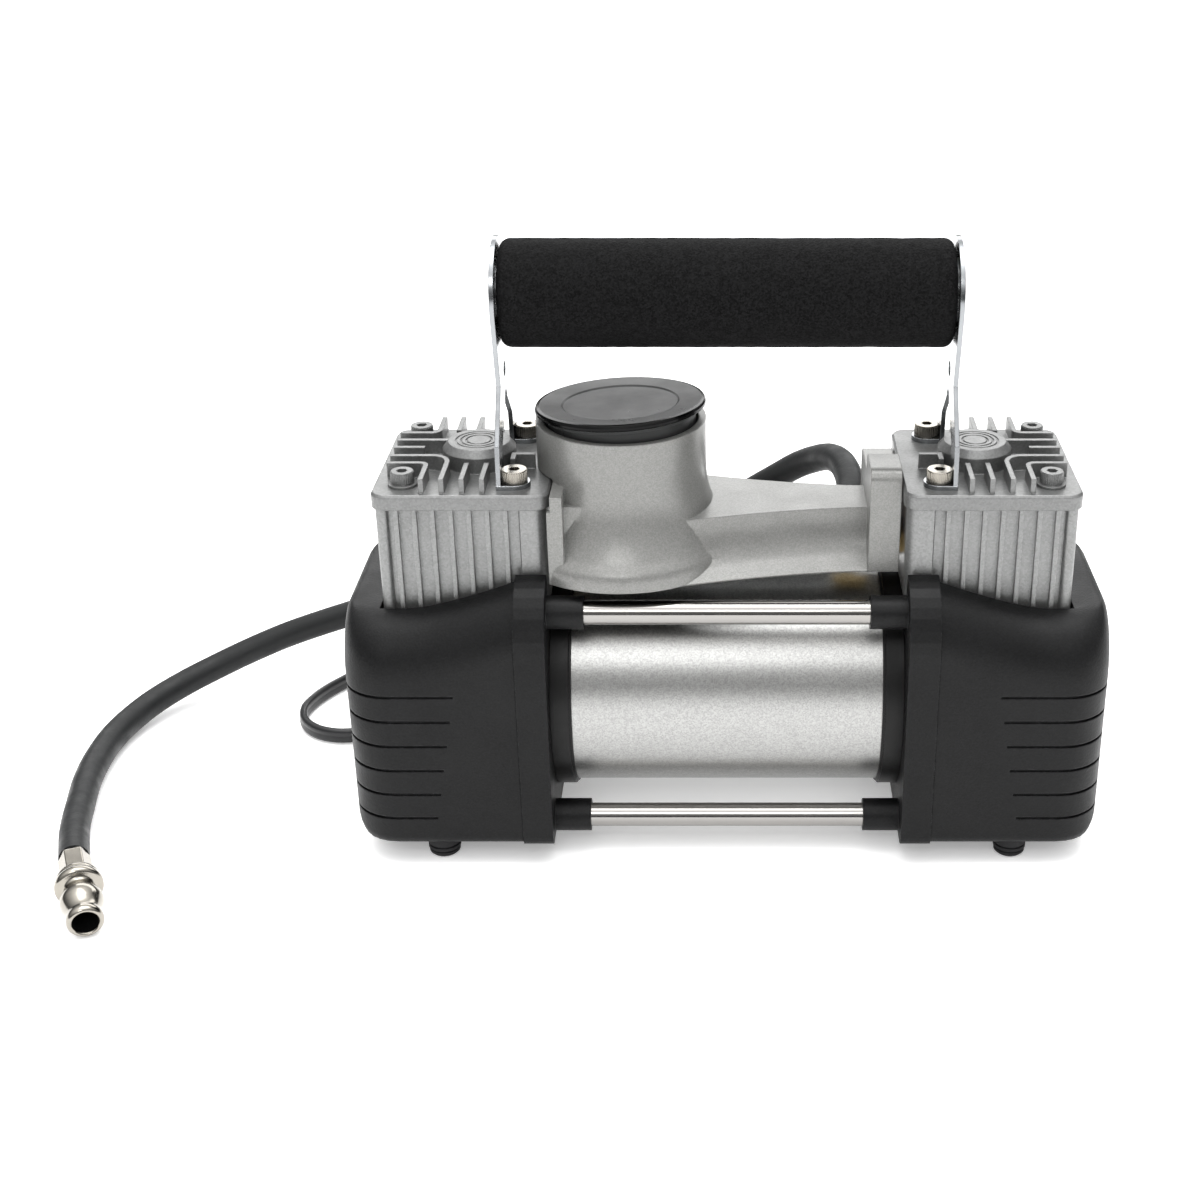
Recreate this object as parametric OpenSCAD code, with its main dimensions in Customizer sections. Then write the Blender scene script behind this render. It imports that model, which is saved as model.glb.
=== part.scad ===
// Portable 12 V air compressor: a motor between two finned cylinders, each in a black end casing.
// X runs along the motor, Y points away from the viewer, Z is up, and the feet stand on Z = 0.
// Modules build the +X side, and mirror([1, 0, 0]) makes the left one.

/* [Layout] */
// Height of the motor axis above the floor
axis_h = 50; // [49:0.5:53]
// Distance from the casing plate's inner face to the cylinder axis
cyl_offset = 26.5; // [26:0.25:27.5]
// Running gap between pieces that move past each other
run_gap = 0.3; // [0.2:0.05:0.4]
// Gap between a piece and the pocket or hole that it sits in
seat_gap = 0.1; // [0.05:0.05:0.2]

/* [Motor] */
// Length of the motor can
can_l = 102; // [96:1:112]
// Outer diameter of the motor can
can_d = 75; // [73:0.5:76]
// Wall of the motor can
can_wall = 1.8; // [1.4:0.1:2.4]
// Thickness of the black end bell outside the can
bell_t = 7; // [6:0.5:9]
// Height of the end bell's rim above the can
bell_lip = 1.6; // [1:0.2:2.2]
// Diameter of the motor shaft
shaft_d = 8; // [7:0.5:9]
// Width of the ball bearing in each end bell
bearing_w = 7; // [6:0.5:7.5]
// Outer diameter of the ball bearings
bearing_d = 22; // [21:0.5:24]
// Room from each end of the motor can to the armature's iron core
core_room = 23; // [21.5:0.5:28]
// Diameter of the armature's iron core
core_d = 53; // [50:0.5:55]
// Thickness of the field magnets
magnet_t = 7.2; // [6.5:0.2:7.8]
// Diameter of the commutator
commutator_d = 22; // [20:0.5:24]

/* [Crank and pistons] */
// Diameter of the cylinder bore
bore_d = 30; // [27:0.5:32]
// Piston stroke
stroke = 13; // [10:0.5:14]
// Radial gap of the piston cup in its sleeve
cup_gap = 0.08; // [0.04:0.01:0.1]
// Wall of the steel cylinder sleeve
sleeve_wall = 2; // [1.5:0.25:2.5]
// Space over the piston crown at top dead centre
head_space = 0.5; // [0.4:0.1:1]
// Diameter of the crank discs
crank_d = 40; // [36:1:43]
// Thickness of the crank discs
crank_t = 6; // [4:0.5:7]
// Width of the connecting rod's big end
big_end_w = 9; // [8:0.5:10]
// Outer diameter of the big-end bearing
rod_bearing_d = 19; // [18:0.5:20]
// Diameter of the crank pin
pin_d = 8; // [7:0.5:9]

/* [Cylinder block and head] */
// Length of the block along the motor
block_l = 54.4; // [53:0.2:56]
// Depth of the block from front to back
block_w = 56; // [54:0.5:57.5]
// Height of the block's upper face over the motor axis
block_top = 72.5; // [70:0.5:76]
// Height of the block's lower face over the motor axis
block_foot = 32; // [30:0.5:34]
// Distance between the block's ribs
rib_pitch = 5.8; // [5:0.1:7]
// Width of a rib
rib_w = 1.5; // [1:0.1:2]
// Depth of the valleys between the ribs
rib_deep = 2; // [1.5:0.1:2.5]
// Length of the head plate along the motor
head_l = 56.5; // [55:0.5:58]
// Depth of the head plate
head_w = 61; // [59:0.5:63]
// Thickness of the head plate
head_t = 5; // [4:0.5:7]
// Height of the head's fins
fin_h = 5; // [4:0.5:7]
// Width of the head's fins
fin_w = 1.6; // [1.2:0.1:2]
// Diameter of the round air chamber on the head
chamber_d = 24; // [20:1:26]
// Height of the air chamber over the head plate
chamber_h = 7.5; // [6:0.5:10]
// Head screw spacing along the motor
screw_dx = 35.7; // [35:0.1:37]
// Head screw spacing from front to back
screw_dy = 42; // [41:0.5:43]
// Thread diameter of the head screws
screw_d = 4; // [3:0.5:4]
// Head diameter of the head screws
screw_head_d = 7; // [6:0.5:7.5]
// Head diameter of the screws that hold the handle's brackets
bracket_head_d = 7.8; // [7:0.2:7.8]
// Thickness of the valve plate
valve_t = 1.6; // [1.2:0.1:2]
// Thickness of the head gasket
gasket_t = 0.6; // [0.5:0.1:1]

/* [Casings] */
// Length of the machine over both casings
body_l = 250; // [246:1:262]
// Depth of the casings from front to back
casing_w = 91; // [89:1:97]
// Wall of the casing shells
casing_wall = 2.5; // [2:0.1:3]
// Thickness of the inner casing plates
plate_t = 10; // [9:0.5:11]
// Height of the casing's underside over the floor
casing_floor = 7; // [6:0.5:8]
// Height of the casing's outer end over the motor axis
casing_low = 37.5; // [36:0.5:38.5]
// Height of the casing beside the motor over the motor axis
casing_high = 51; // [49:0.5:53]
// Depth of the rounded shoulder
shoulder_y = 16; // [12:0.5:16.5]
// Height of the rounded shoulder
shoulder_z = 20; // [14:0.5:24]
// Radius of the upright outer corners
corner_r = 15; // [10:0.5:18]
// Gap round the cylinder block where it leaves the casing
block_gap = 0.8; // [0.5:0.1:1]
// Distance between the grip grooves
groove_pitch = 9.1; // [8:0.1:9.5]
// Width of a grip groove
groove_w = 1; // [0.6:0.1:1.6]
// Depth of a grip groove
groove_deep = 0.7; // [0.4:0.1:1]

/* [Tie rods and feet] */
// Diameter of the tie rods
rod_d = 8; // [7:0.5:9]
// Tie rod distance from the middle plane
rod_y = 33; // [32:0.5:34]
// Tie rod distance above and below the motor axis
rod_z = 38.2; // [37:0.1:38.6]
// Diameter of the bosses round the tie rods
rod_boss_d = 11; // [10.5:0.5:13]
// Length of the bosses round the tie rods
rod_boss_l = 12; // [10:0.5:14]
// Diameter of the rubber feet
foot_d = 11; // [10:0.5:14]
// Foot distance from the middle plane, front to back
foot_y = 36.5; // [34:0.5:37]
// Foot distance from the middle of the machine
foot_x = 96; // [92:1:100]

/* [Cover and cap] */
// Wall of the manifold cover
cover_wall = 2.4; // [2:0.1:3]
// Outer diameter of the gauge tower
tower_d = 55.4; // [52:0.2:57]
// Tower centre, from the middle of the machine
tower_x = -34.5; // [-36:0.5:-33]
// Height of the tower's rim over the motor axis
tower_top = 93; // [88:0.5:98]
// Height of the cover's lower edge over the motor axis
cover_foot = 47; // [46:0.5:49]
// Height of the wall at the cover's foot, below the sweep
cover_lip = 7; // [5:0.5:9]
// How far the cover's foot flares out from the tower
cover_flare = 10.3; // [6:0.1:11]
// Height of the arm's upper face over the motor axis
arm_top = 65; // [63:0.5:67]
// Height of the wall beside the right head over the motor axis
end_wall_top = 82; // [78:0.5:84]
// Diameter of the plug cap
cap_d = 55.6; // [52:0.2:57]
// Height of the plug cap's rim over the tower's rim
cap_rise = 3.4; // [3:0.1:5]
// Diameter of the plug cap's stem
cap_stem_d = 48.6; // [46:0.2:48.8]
// Length of the stem inside the tower
cap_stem_l = 8; // [6:0.5:12]
// Tilt of the plug cap towards the rear
cap_tilt = 2.5; // [0:0.5:3]

/* [Handle] */
// Diameter of the foam grip
grip_d = 34.4; // [32:0.2:38]
// Height of the grip's axis over the motor axis
grip_h = 134.2; // [128:0.2:140]
// Diameter of the tube in the grip
tube_d = 22; // [19:0.5:25]
// Thickness of the handle brackets
bracket_t = 1.5; // [1.2:0.1:2]
// Diameter of the bracket's round end
bracket_d = 36; // [33:0.5:39]
// Width of the bracket's legs
leg_w = 10; // [8:0.5:11]
// Distance from the inner head screws to the bracket's outer face
bracket_out = 5.5; // [5.3:0.1:6]

/* [Hose, cord and switch] */
// Outer diameter of the air hose
hose_d = 10; // [9:0.2:10.4]
// Outer diameter of the power cord
cord_d = 6; // [5:0.2:6]
// Outer diameter of the quick plug's barrel
quick_d = 12; // [11:0.2:13]
// Height of the switch rocker
rocker_h = 16; // [13:0.5:17]
// Width of the switch rocker
rocker_w = 9; // [7:0.5:11]
// Tip of the rocker each way from its middle
rocker_tip = 8; // [5:1:10]
// Diameter of the accessory plug's body
plug_d = 21; // [20:0.2:21.4]
// Travel of the accessory plug's tip
tip_travel = 4; // [2:0.5:5]

/* [Hidden] */
$fn = 64;
e = 0.01;
over = 1;

plate_x = can_l / 2 + bell_t;
core_l = can_l - 2 * core_room;
shell_x = plate_x + plate_t;
end_x = body_l / 2;
cyl_x = plate_x + cyl_offset;
half_w = casing_w / 2;
crank_r = stroke / 2;

deck_z = axis_h + block_top;
plate_z = deck_z + head_t;
crankcase_top = axis_h + block_foot;
screw_x = [cyl_x - 17, cyl_x - 17 + screw_dx];
bracket_x = screw_x[0] + bracket_out;

crank_x = shell_x + 4;
pin_x = crank_x + crank_t + run_gap;
rod_x = cyl_x - big_end_w / 2;
crown_z = deck_z - valve_t - head_space;
sleeve_d = bore_d + 2 * sleeve_wall;

notch_z = axis_h + 40.2;
block_y = block_w / 2 + block_gap;
block_out = cyl_x + block_l / 2 + block_gap;

cap_base = axis_h + tower_top;

// Small helpers.

module both_sides() {
    children();
    mirror([1, 0, 0]) children();
}

module front_and_back() {
    children();
    mirror([0, 1, 0]) children();
}

// A cylinder along X from x0 to x1.
module rod_x(d, x0, x1, y = 0, z = axis_h) {
    translate([x0, y, z]) rotate([0, 90, 0]) cylinder(d = d, h = x1 - x0);
}

// Turns a profile drawn as [radius, distance along X] round the motor axis.
module turn_x(z = axis_h) {
    translate([0, 0, z]) rotate([0, 90, 0]) rotate_extrude() children();
}

// Extrudes a YZ outline along X from x0 to x1.
module along_x(x0, x1) {
    translate([x0, 0, 0]) rotate([90, 0, 90]) linear_extrude(x1 - x0) children();
}

module box(x0, x1, y0, y1, z0, z1) {
    translate([x0, y0, z0]) cube([x1 - x0, y1 - y0, z1 - z0]);
}

module round_rect(w, h, r) {
    square([w - 2 * r, h], center = true);
    square([w, h - 2 * r], center = true);
    for (sx = [-1, 1], sy = [-1, 1])
        translate([sx * (w / 2 - r), sy * (h / 2 - r)]) circle(r);
}

// Joins rings with the same number of points into one closed solid.
module loft(rings) {
    n = len(rings[0]);
    m = len(rings);
    polyhedron(
        points = [for (r = rings) each r],
        faces = concat(
            [[for (i = [0 : n - 1]) i]],
            [for (j = [0 : m - 2], i = [0 : n - 1]) each [
                [j * n + i, (j + 1) * n + i, j * n + (i + 1) % n],
                [j * n + (i + 1) % n, (j + 1) * n + i, (j + 1) * n + (i + 1) % n]]],
            [[for (i = [n - 1 : -1 : 0]) (m - 1) * n + i]]));
}

// A round tube swept along a list of points.
function unit(v) = v / norm(v);
function heading(p, i) = unit(p[min(i + 1, len(p) - 1)] - p[max(i - 1, 0)]);
function tube_ring(c, t, d, sides) =
    let (side = unit(cross(t, [0, 0, 1])), top = cross(side, t))
    [for (k = [0 : sides - 1]) let (a = 360 * k / sides)
        c + d / 2 * (cos(a) * side + sin(a) * top)];

module sweep(points, d, sides) {
    loft([for (i = [0 : len(points) - 1])
        tube_ring(points[i], heading(points, i), d, sides)]);
}

// End casings.

// How much a corner of radius r takes off at distance t into it.
function corner_cut(t, r) = t <= 0 ? 0 : r - sqrt(max(0, r * r - t * t));

// Top of the casing at x: low and level at the outer end, rising towards the motor.
function casing_top(x) =
    let (start = cyl_x + 18, t = max(0, (start - x) / (start - plate_x)))
    axis_h + casing_low + (casing_high - casing_low) * pow(t, 1.3)
    - corner_cut(x - end_x + 4, 4);

// The casing's YZ outline at x, moved in by inset.
function casing_ring(x, inset = 0) =
    let (hy = half_w - inset - corner_cut(x - end_x + corner_r, corner_r),
        z0 = casing_floor + inset + corner_cut(x - end_x + 7, 7),
        z1 = casing_top(x) - inset,
        r0 = 4,
        right = concat(
            [for (a = [-90 : 22.5 : 0]) [hy - r0 + r0 * cos(a), z0 + r0 + r0 * sin(a)]],
            [for (a = [0 : 11.25 : 90]) [hy - shoulder_y + shoulder_y * cos(a),
                z1 - shoulder_z + shoulder_z * sin(a)]]))
    concat(right, [for (i = [len(right) - 1 : -1 : 0]) [-right[i][0], right[i][1]]]);

module casing_body(inset, x0, depth) {
    stations = [0, 6, 12, 18, 24, 30, 36, 42, 45.5, 48.5, 51, 53, 54.4, 55.5, 56.3, 56.8, 57];
    reach = end_x - shell_x;
    loft([for (s = stations) let (x = shell_x + s * reach / 57)
        [for (p = casing_ring(x, inset)) [x0 + (x - shell_x) * depth / reach, p[0], p[1]]]]);
}

groove_top = axis_h + 13.1;
module grip_grooves() {
    difference() {
        for (i = [0 : 5]) let (z = groove_top - i * groove_pitch)
            box(cyl_x + 3.7 + 1.55 * i, end_x + over, -half_w - over, half_w + over,
                z, z + groove_w);
        casing_body(groove_deep, shell_x - over, end_x - shell_x - groove_deep + over);
    }
}

// Screw posts inside the shell, between its end wall and the crankcase.
post_yz = [for (sy = [-1, 1], sz = [-1, 1]) [sy * 20, sz * 20]];
post_d = 9;
casing_screw_d = 4;
casing_screw_head = 7.5;
crankcase_end = cyl_x + 21.5;

module casing_shell() {
    difference() {
        union() {
            difference() {
                casing_body(0, shell_x, end_x - shell_x);
                casing_body(casing_wall, shell_x - e, end_x - shell_x - casing_wall);
            }
            for (p = post_yz)
                rod_x(post_d, crankcase_end, end_x - casing_wall + e, p[0], axis_h + p[1]);
        }
        box(shell_x - over, block_out, -block_y, block_y, notch_z - 15, deck_z);
        for (p = post_yz) {
            rod_x(casing_screw_d + 2 * seat_gap, crankcase_end - over, end_x + over,
                p[0], axis_h + p[1]);
            rod_x(casing_screw_head + 1, end_x - 5, end_x + over, p[0], axis_h + p[1]);
        }
        for (sy = [-1, 1]) translate([foot_x, sy * foot_y, casing_floor - over])
            cylinder(d = foot_stem_d + 2 * seat_gap, h = casing_wall + 2 * over);
        grip_grooves();
    }
}

// Hole for the strain relief in the rear wall of the left shell.
exit_x = -100;
exit_z = 20;
gland_d = 9;

module casing_shell_left() {
    color("#202124") difference() {
        mirror([1, 0, 0]) casing_shell();
        translate([exit_x, half_w + over, exit_z]) rotate([90, 0, 0])
            cylinder(d = gland_d + 2 * seat_gap, h = casing_wall + 2 * over);
    }
}

module casing_shell_right() { color("#202124") casing_shell(); }

shaft_hole_d = 30;
module casing_plate() {
    lip = 0.5;
    profile = casing_ring(plate_x + plate_t / 2, -lip);
    difference() {
        union() {
            along_x(plate_x, shell_x) polygon(profile);
            for (sy = [-1, 1], sz = [-1, 1])
                rod_x(rod_boss_d, plate_x - rod_boss_l, plate_x + e, sy * rod_y,
                    axis_h + sz * rod_z);
        }
        box(plate_x - over, shell_x + over, -block_y, block_y, notch_z, deck_z);
        rod_x(shaft_hole_d, plate_x - over, shell_x + over);
        translate([cyl_x, 0, crankcase_top - over])
            cylinder(d = sleeve_d + 2 * seat_gap, h = deck_z - crankcase_top);
        for (sy = [-1, 1], sz = [-1, 1]) let (y = sy * rod_y, z = axis_h + sz * rod_z) {
            rod_x(rod_d + 2 * seat_gap, plate_x - rod_boss_l - over, plate_x, y, z);
            rod_x(tie_screw_d + 2 * seat_gap, plate_x - over, shell_x + over, y, z);
            rod_x(screw_head_d + 0.8, shell_x - screw_d - seat_gap, shell_x + over, y, z);
        }
    }
}

module casing_plate_left() { color("#26272a") mirror([1, 0, 0]) casing_plate(); }
module casing_plate_right() { color("#26272a") casing_plate(); }

// Tie rods and screws.

tie_screw_d = 4;
tie_screw_grip = 11;
module tie_rods() {
    color("#c9c6c0") for (sy = [-1, 1], sz = [-1, 1]) difference() {
        rod_x(rod_d, -plate_x, plate_x, sy * rod_y, axis_h + sz * rod_z);
        both_sides() rod_x(tie_screw_d + 2 * seat_gap, plate_x - tie_screw_grip - over,
            plate_x + over, sy * rod_y, axis_h + sz * rod_z);
    }
}

// A socket head screw standing on z = 0, with its shank below.
module socket_screw(d, head_d, length) {
    difference() {
        union() {
            cylinder(d = head_d, h = d);
            translate([0, 0, -length]) cylinder(d = d, h = length + e);
        }
        translate([0, 0, d * 0.45]) cylinder(d = d * 0.9, h = d, $fn = 6);
    }
}

module tie_rod_screws() {
    color("#8f9094") both_sides() for (sy = [-1, 1], sz = [-1, 1])
        translate([shell_x - screw_d, sy * rod_y, axis_h + sz * rod_z]) rotate([0, 90, 0])
            socket_screw(tie_screw_d, screw_head_d, plate_t - screw_d + tie_screw_grip);
}

module casing_screws() {
    color("#8f9094") both_sides() for (p = post_yz)
        translate([end_x - 5, p[0], axis_h + p[1]]) rotate([0, 90, 0])
            socket_screw(casing_screw_d, casing_screw_head, end_x - 5 - crankcase_end + 8);
}

foot_stem_d = 6;
module rubber_feet() {
    stem_l = casing_wall + 0.3;
    color("#161616") both_sides() front_and_back() translate([foot_x, foot_y, 0])
        rotate_extrude() polygon([[0, 0], [foot_d / 2 - 1, 0], [foot_d / 2 - 0.3, 0.7],
            [foot_d / 2 - 0.3, 1.6], [foot_d / 2 - 0.9, 1.9], [foot_d / 2, 2.3],
            [foot_d / 2, 3.4], [foot_d / 2 - 0.6, 3.7], [foot_d / 2, 4.1],
            [foot_d / 2, casing_floor], [foot_stem_d / 2, casing_floor],
            [foot_stem_d / 2, casing_floor + stem_l],
            [foot_stem_d / 2 + 1, casing_floor + stem_l],
            [foot_stem_d / 2 - 0.6, casing_floor + stem_l + 2.5],
            [0, casing_floor + stem_l + 2.5]]);
}

// Crankcase, cylinder block and head.

chamber_r = 25;
crankcase_w = 54;
module crankcase() {
    difference() {
        union() {
            box(shell_x, crankcase_end, -crankcase_w / 2 + 0.5, crankcase_w / 2 - 0.5,
                axis_h - 18, crankcase_top);
            rod_x(crankcase_w, shell_x, crankcase_end);
        }
        rod_x(2 * chamber_r, shell_x + 3, crankcase_end + over);
        rod_x(20, shell_x - over, shell_x + 3 + over);
        translate([cyl_x, 0, axis_h]) cylinder(d = bore_d + 1, h = block_foot + over);
        for (p = post_yz)
            rod_x(casing_screw_d + 2 * seat_gap, crankcase_end - 10, crankcase_end + over,
                p[0], axis_h + p[1]);
        for (u = screw_x, sy = [-1, 1]) if (u < crankcase_end)
            translate([u, sy * screw_dy / 2, crankcase_top - 10])
                cylinder(d = screw_d + 2 * seat_gap, h = 10 + over);
    }
}

module crankcases() { color("#a7a9ab") both_sides() crankcase(); }

// The block's outline from above: a round-cornered core with upright ribs on three sides.
module block_outline() {
    core_l = block_l - rib_deep;
    translate([-rib_deep / 2, 0]) round_rect(core_l, block_w - 2 * rib_deep, 3);
    for (sy = [-1, 1], i = [0 : 7])
        translate([-20 + i * rib_pitch - rib_w / 2, sy > 0 ? 0 : -block_w / 2])
            square([rib_w, block_w / 2]);
    for (sy = [-1, 1]) {
        translate([block_l / 2 - 2, sy * (block_w / 2 - 2)]) circle(2);
        translate([block_l / 2 - 4, sy > 0 ? 0 : -block_w / 2 + 2])
            square([4, block_w / 2 - 2]);
        translate([-block_l / 2 + 5, sy * (block_w / 2 - 5)]) circle(5);
        translate([-block_l / 2 + 5, sy > 0 ? 0 : -block_w / 2])
            square([3.5, block_w / 2]);
    }
    translate([-block_l / 2, -block_w / 2 + 5]) square([10, block_w - 10]);
}

// Valleys between the ribs of the outer side.
module block_side_valleys() {
    n = 8;
    pitch = (block_w - 6) / n;
    for (i = [0 : n - 1])
        translate([block_l / 2 - rib_deep, -block_w / 2 + 3 + i * pitch + rib_w / 2])
            square([rib_deep + over, pitch - rib_w]);
}

module cylinder_block() {
    pocket = block_l - 10;
    difference() {
        translate([cyl_x, 0, crankcase_top]) linear_extrude(deck_z - crankcase_top)
            difference() {
                block_outline();
                block_side_valleys();
            }
        box(0, shell_x + seat_gap, -block_w, block_w, 0, notch_z + seat_gap);
        translate([cyl_x, 0, crankcase_top - over])
            cylinder(d = sleeve_d + 2 * seat_gap, h = deck_z);
        translate([cyl_x, 0, deck_z - valve_t]) linear_extrude(valve_t + over)
            round_rect(valve_l + 2 * seat_gap, valve_w + 2 * seat_gap, 4);
        for (u = screw_x, sy = [-1, 1])
            translate([u, sy * screw_dy / 2, crankcase_top - over])
                cylinder(d = screw_d + 2 * seat_gap, h = deck_z);
        // Outlet port towards the manifold pipe.
        rod_x(pipe_d + 2 * seat_gap, 0, cyl_x - sleeve_d / 2 - 2, pipe_y, pipe_z);
    }
}

module cylinder_block_left() { color("#a9aeae") mirror([1, 0, 0]) cylinder_block(); }
module cylinder_block_right() { color("#a9aeae") cylinder_block(); }

module cylinder_sleeves() {
    color("#8c9094") both_sides() translate([cyl_x, 0, crankcase_top]) difference() {
        cylinder(d = sleeve_d, h = deck_z - valve_t - crankcase_top);
        translate([0, 0, -over]) cylinder(d = bore_d, h = deck_z);
    }
}

valve_l = sleeve_d + 2;
valve_w = sleeve_d + 0.5;
valve_hole_x = 5;
module valve_plates() {
    color("#b9bcc0") both_sides() translate([cyl_x, 0, deck_z - valve_t]) difference() {
        linear_extrude(valve_t) round_rect(valve_l, valve_w, 4);
        for (s = [-1, 1]) translate([s * valve_hole_x, 0, -over])
            cylinder(d = 4, h = valve_t + 2 * over);
    }
}

reed_t = 0.2;
module reed_valves() {
    color("#c8ccd0") both_sides() translate([cyl_x, 0, deck_z]) {
        linear_extrude(reed_t) difference() {
            round_rect(22, 7, 3);
            translate([valve_hole_x + 1, 0]) circle(1);
        }
    }
}

module head_gaskets() {
    color("#3a3d40") both_sides() translate([cyl_x, 0, deck_z]) linear_extrude(gasket_t)
        difference() {
            round_rect(valve_l, valve_w, 4);
            round_rect(valve_l - 6, valve_w - 6, 3);
        }
}

// Head plate, fins, air chamber. Local zero is the cylinder axis, +X the outer side.
chamber_x = -3.4;
fin_rows = [-14, -7.5, 0, 6.8, 13.6];
fin_cols = [11.8, 5.4, -1, -7.4];

// A fin along X or along Y, with a rounded free end.
module fin_along_x(x0, x1, y) {
    translate([x0, y - fin_w / 2, 0]) cube([x1 - x0, fin_w, fin_h]);
}
module fin_along_y(x, y0, y1) {
    translate([x - fin_w / 2, y0, 0]) cube([fin_w, y1 - y0, fin_h]);
}
// A quarter-round bend of mid radius r, about its own centre, from angle a.
module fin_bend(x, y, r, a) {
    translate([x, y, 0]) rotate([0, 0, a]) rotate_extrude(angle = 90)
        translate([r - fin_w / 2, 0]) square([fin_w, fin_h]);
}

module head_fins() {
    out = head_l / 2 - 3.6;
    front = -head_w / 2 + 1.9;
    // Front pair bends from the outer side to the front.
    bends = [[0, 0, 2.5], [1, 1, 6]];
    for (b = bends) let (y = fin_rows[b[0]], x = fin_cols[b[1]], r = b[2]) {
        fin_along_x(x + r, out, y);
        fin_bend(x + r, y - r, r, 90);
        fin_along_y(x, front, y - r);
    }
    // Middle row stops short, the next one runs to the air chamber.
    fin_along_x(14.5, out, fin_rows[2]);
    fin_along_x(6.5, out, fin_rows[3]);
    // Rear row bends to the back.
    fin_along_x(fin_cols[0] + 2.5, out, fin_rows[4]);
    fin_bend(fin_cols[0] + 2.5, fin_rows[4] + 2.5, 2.5, 180);
    fin_along_y(fin_cols[0], fin_rows[4] + 2.5, -front);
    for (i = [1, 2, 3]) fin_along_y(fin_cols[i], 15.5, -front);
    for (i = [2, 3]) fin_along_y(fin_cols[i], front, -14.5);
    // Short L beside the inner front screw.
    fin_along_x(-22.2, -14.6, -6);
    fin_along_y(-15.4, -11, -6);
}

module air_chamber() {
    r = chamber_d / 2;
    rotate_extrude() difference() {
        polygon([[0, -head_t], [r, -head_t], [r, chamber_h - 2.4], [r - 2, chamber_h],
            [0, chamber_h]]);
        for (g = [3.8, 5.6, 7.2]) translate([g, chamber_h - 0.4]) square([0.6, 1]);
    }
}

module cylinder_head() {
    translate([cyl_x, 0, plate_z]) difference() {
        union() {
            translate([0, 0, -head_t]) linear_extrude(head_t - 0.8)
                round_rect(head_l, head_w, 5);
            hull() {
                translate([0, 0, -0.8 - e]) linear_extrude(e)
                    round_rect(head_l, head_w, 5, $fn = 32);
                translate([0, 0, -e]) linear_extrude(e)
                    round_rect(head_l - 1.4, head_w - 1.4, 4.3, $fn = 32);
            }
            translate([0, 0, -e]) head_fins();
            translate([chamber_x, 0, 0]) air_chamber();
        }
        for (u = screw_x, sy = [-1, 1])
            translate([u - cyl_x, sy * screw_dy / 2, -head_t - over])
                cylinder(d = screw_d + 2 * seat_gap, h = head_t + 2 * over);
        // Pocket for the gasket and the reed, and the air chamber over it.
        translate([0, 0, -head_t - over]) linear_extrude(gasket_t + over)
            round_rect(valve_l + 2 * seat_gap, valve_w + 2 * seat_gap, 4);
        translate([0, 0, -head_t - over]) linear_extrude(gasket_t + 1.6 + over)
            round_rect(valve_l - 6, valve_w - 6, 3);
        translate([chamber_x, 0, -head_t]) cylinder(r = chamber_d / 2 - 3.5, h = 9.5);
    }
}

module cylinder_head_left() { color("#adb1b1") mirror([1, 0, 0]) cylinder_head(); }
module cylinder_head_right() { color("#adb1b1") cylinder_head(); }

screw_depth = deck_z - crankcase_top - 6;
washer_t = 0.9;
module outer_head_screws() {
    color("#b2b6b6") both_sides() front_and_back()
        translate([screw_x[1], screw_dy / 2, plate_z]) {
            difference() {
                cylinder(d = screw_head_d + 2.4, h = washer_t);
                translate([0, 0, -over]) cylinder(d = screw_d, h = washer_t + 2 * over);
            }
            translate([0, 0, washer_t]) socket_screw(screw_d, screw_head_d, screw_depth);
        }
}

module inner_head_screws() {
    color("#c2bdb2") both_sides() front_and_back()
        translate([screw_x[0], screw_dy / 2, plate_z + bracket_t])
            socket_screw(screw_d, bracket_head_d, screw_depth);
}

// Motor.

module motor_can() {
    color("#b4b4b2") difference() {
        rod_x(can_d, -can_l / 2, can_l / 2);
        rod_x(can_d - 2 * can_wall, -can_l, can_l);
    }
}

can_in_r = can_d / 2 - can_wall;
module field_magnets() {
    color("#3c3c40") for (a = [20, 200]) translate([-core_l / 2 - 2, 0, axis_h])
        rotate([0, 90, 0]) rotate([0, 0, a]) rotate_extrude(angle = 140)
            translate([can_in_r - seat_gap - magnet_t, 0]) square([magnet_t, core_l + 4]);
}

bell_hub_r = bearing_d / 2 + 3.5;
bearing_in = can_l / 2 - 4;
module end_bells() {
    r = can_d / 2 + bell_lip;
    spigot = can_in_r - seat_gap;
    color("#1d1e20") both_sides() turn_x() {
        translate([spigot - 2.4, can_l / 2 - 6]) square([2.4, 6 + e]);
        translate([spigot - 2.4, can_l / 2]) square([r - spigot + 2.4 - 0.8, bell_t]);
        translate([r - 1, can_l / 2 + 0.8]) square([1, bell_t - 0.8]);
        translate([bell_hub_r - e, plate_x - 3]) square([spigot - bell_hub_r, 3]);
        translate([bearing_d / 2 + seat_gap, bearing_in])
            square([bell_hub_r - bearing_d / 2 - seat_gap, plate_x - bearing_in]);
        translate([shaft_d / 2 + 2, bearing_in + bearing_w])
            square([bell_hub_r - shaft_d / 2 - 2, plate_x - bearing_in - bearing_w]);
    }
}

module shaft_bearings() {
    color("#9aa0a6") both_sides() turn_x() difference() {
        translate([shaft_d / 2 + 0.03, bearing_in])
            square([(bearing_d - shaft_d) / 2 - 0.03, bearing_w]);
        for (x = [bearing_in - over, bearing_in + bearing_w - 0.6])
            translate([shaft_d / 2 + 2, x]) square([3, 0.6 + over]);
    }
}

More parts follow.
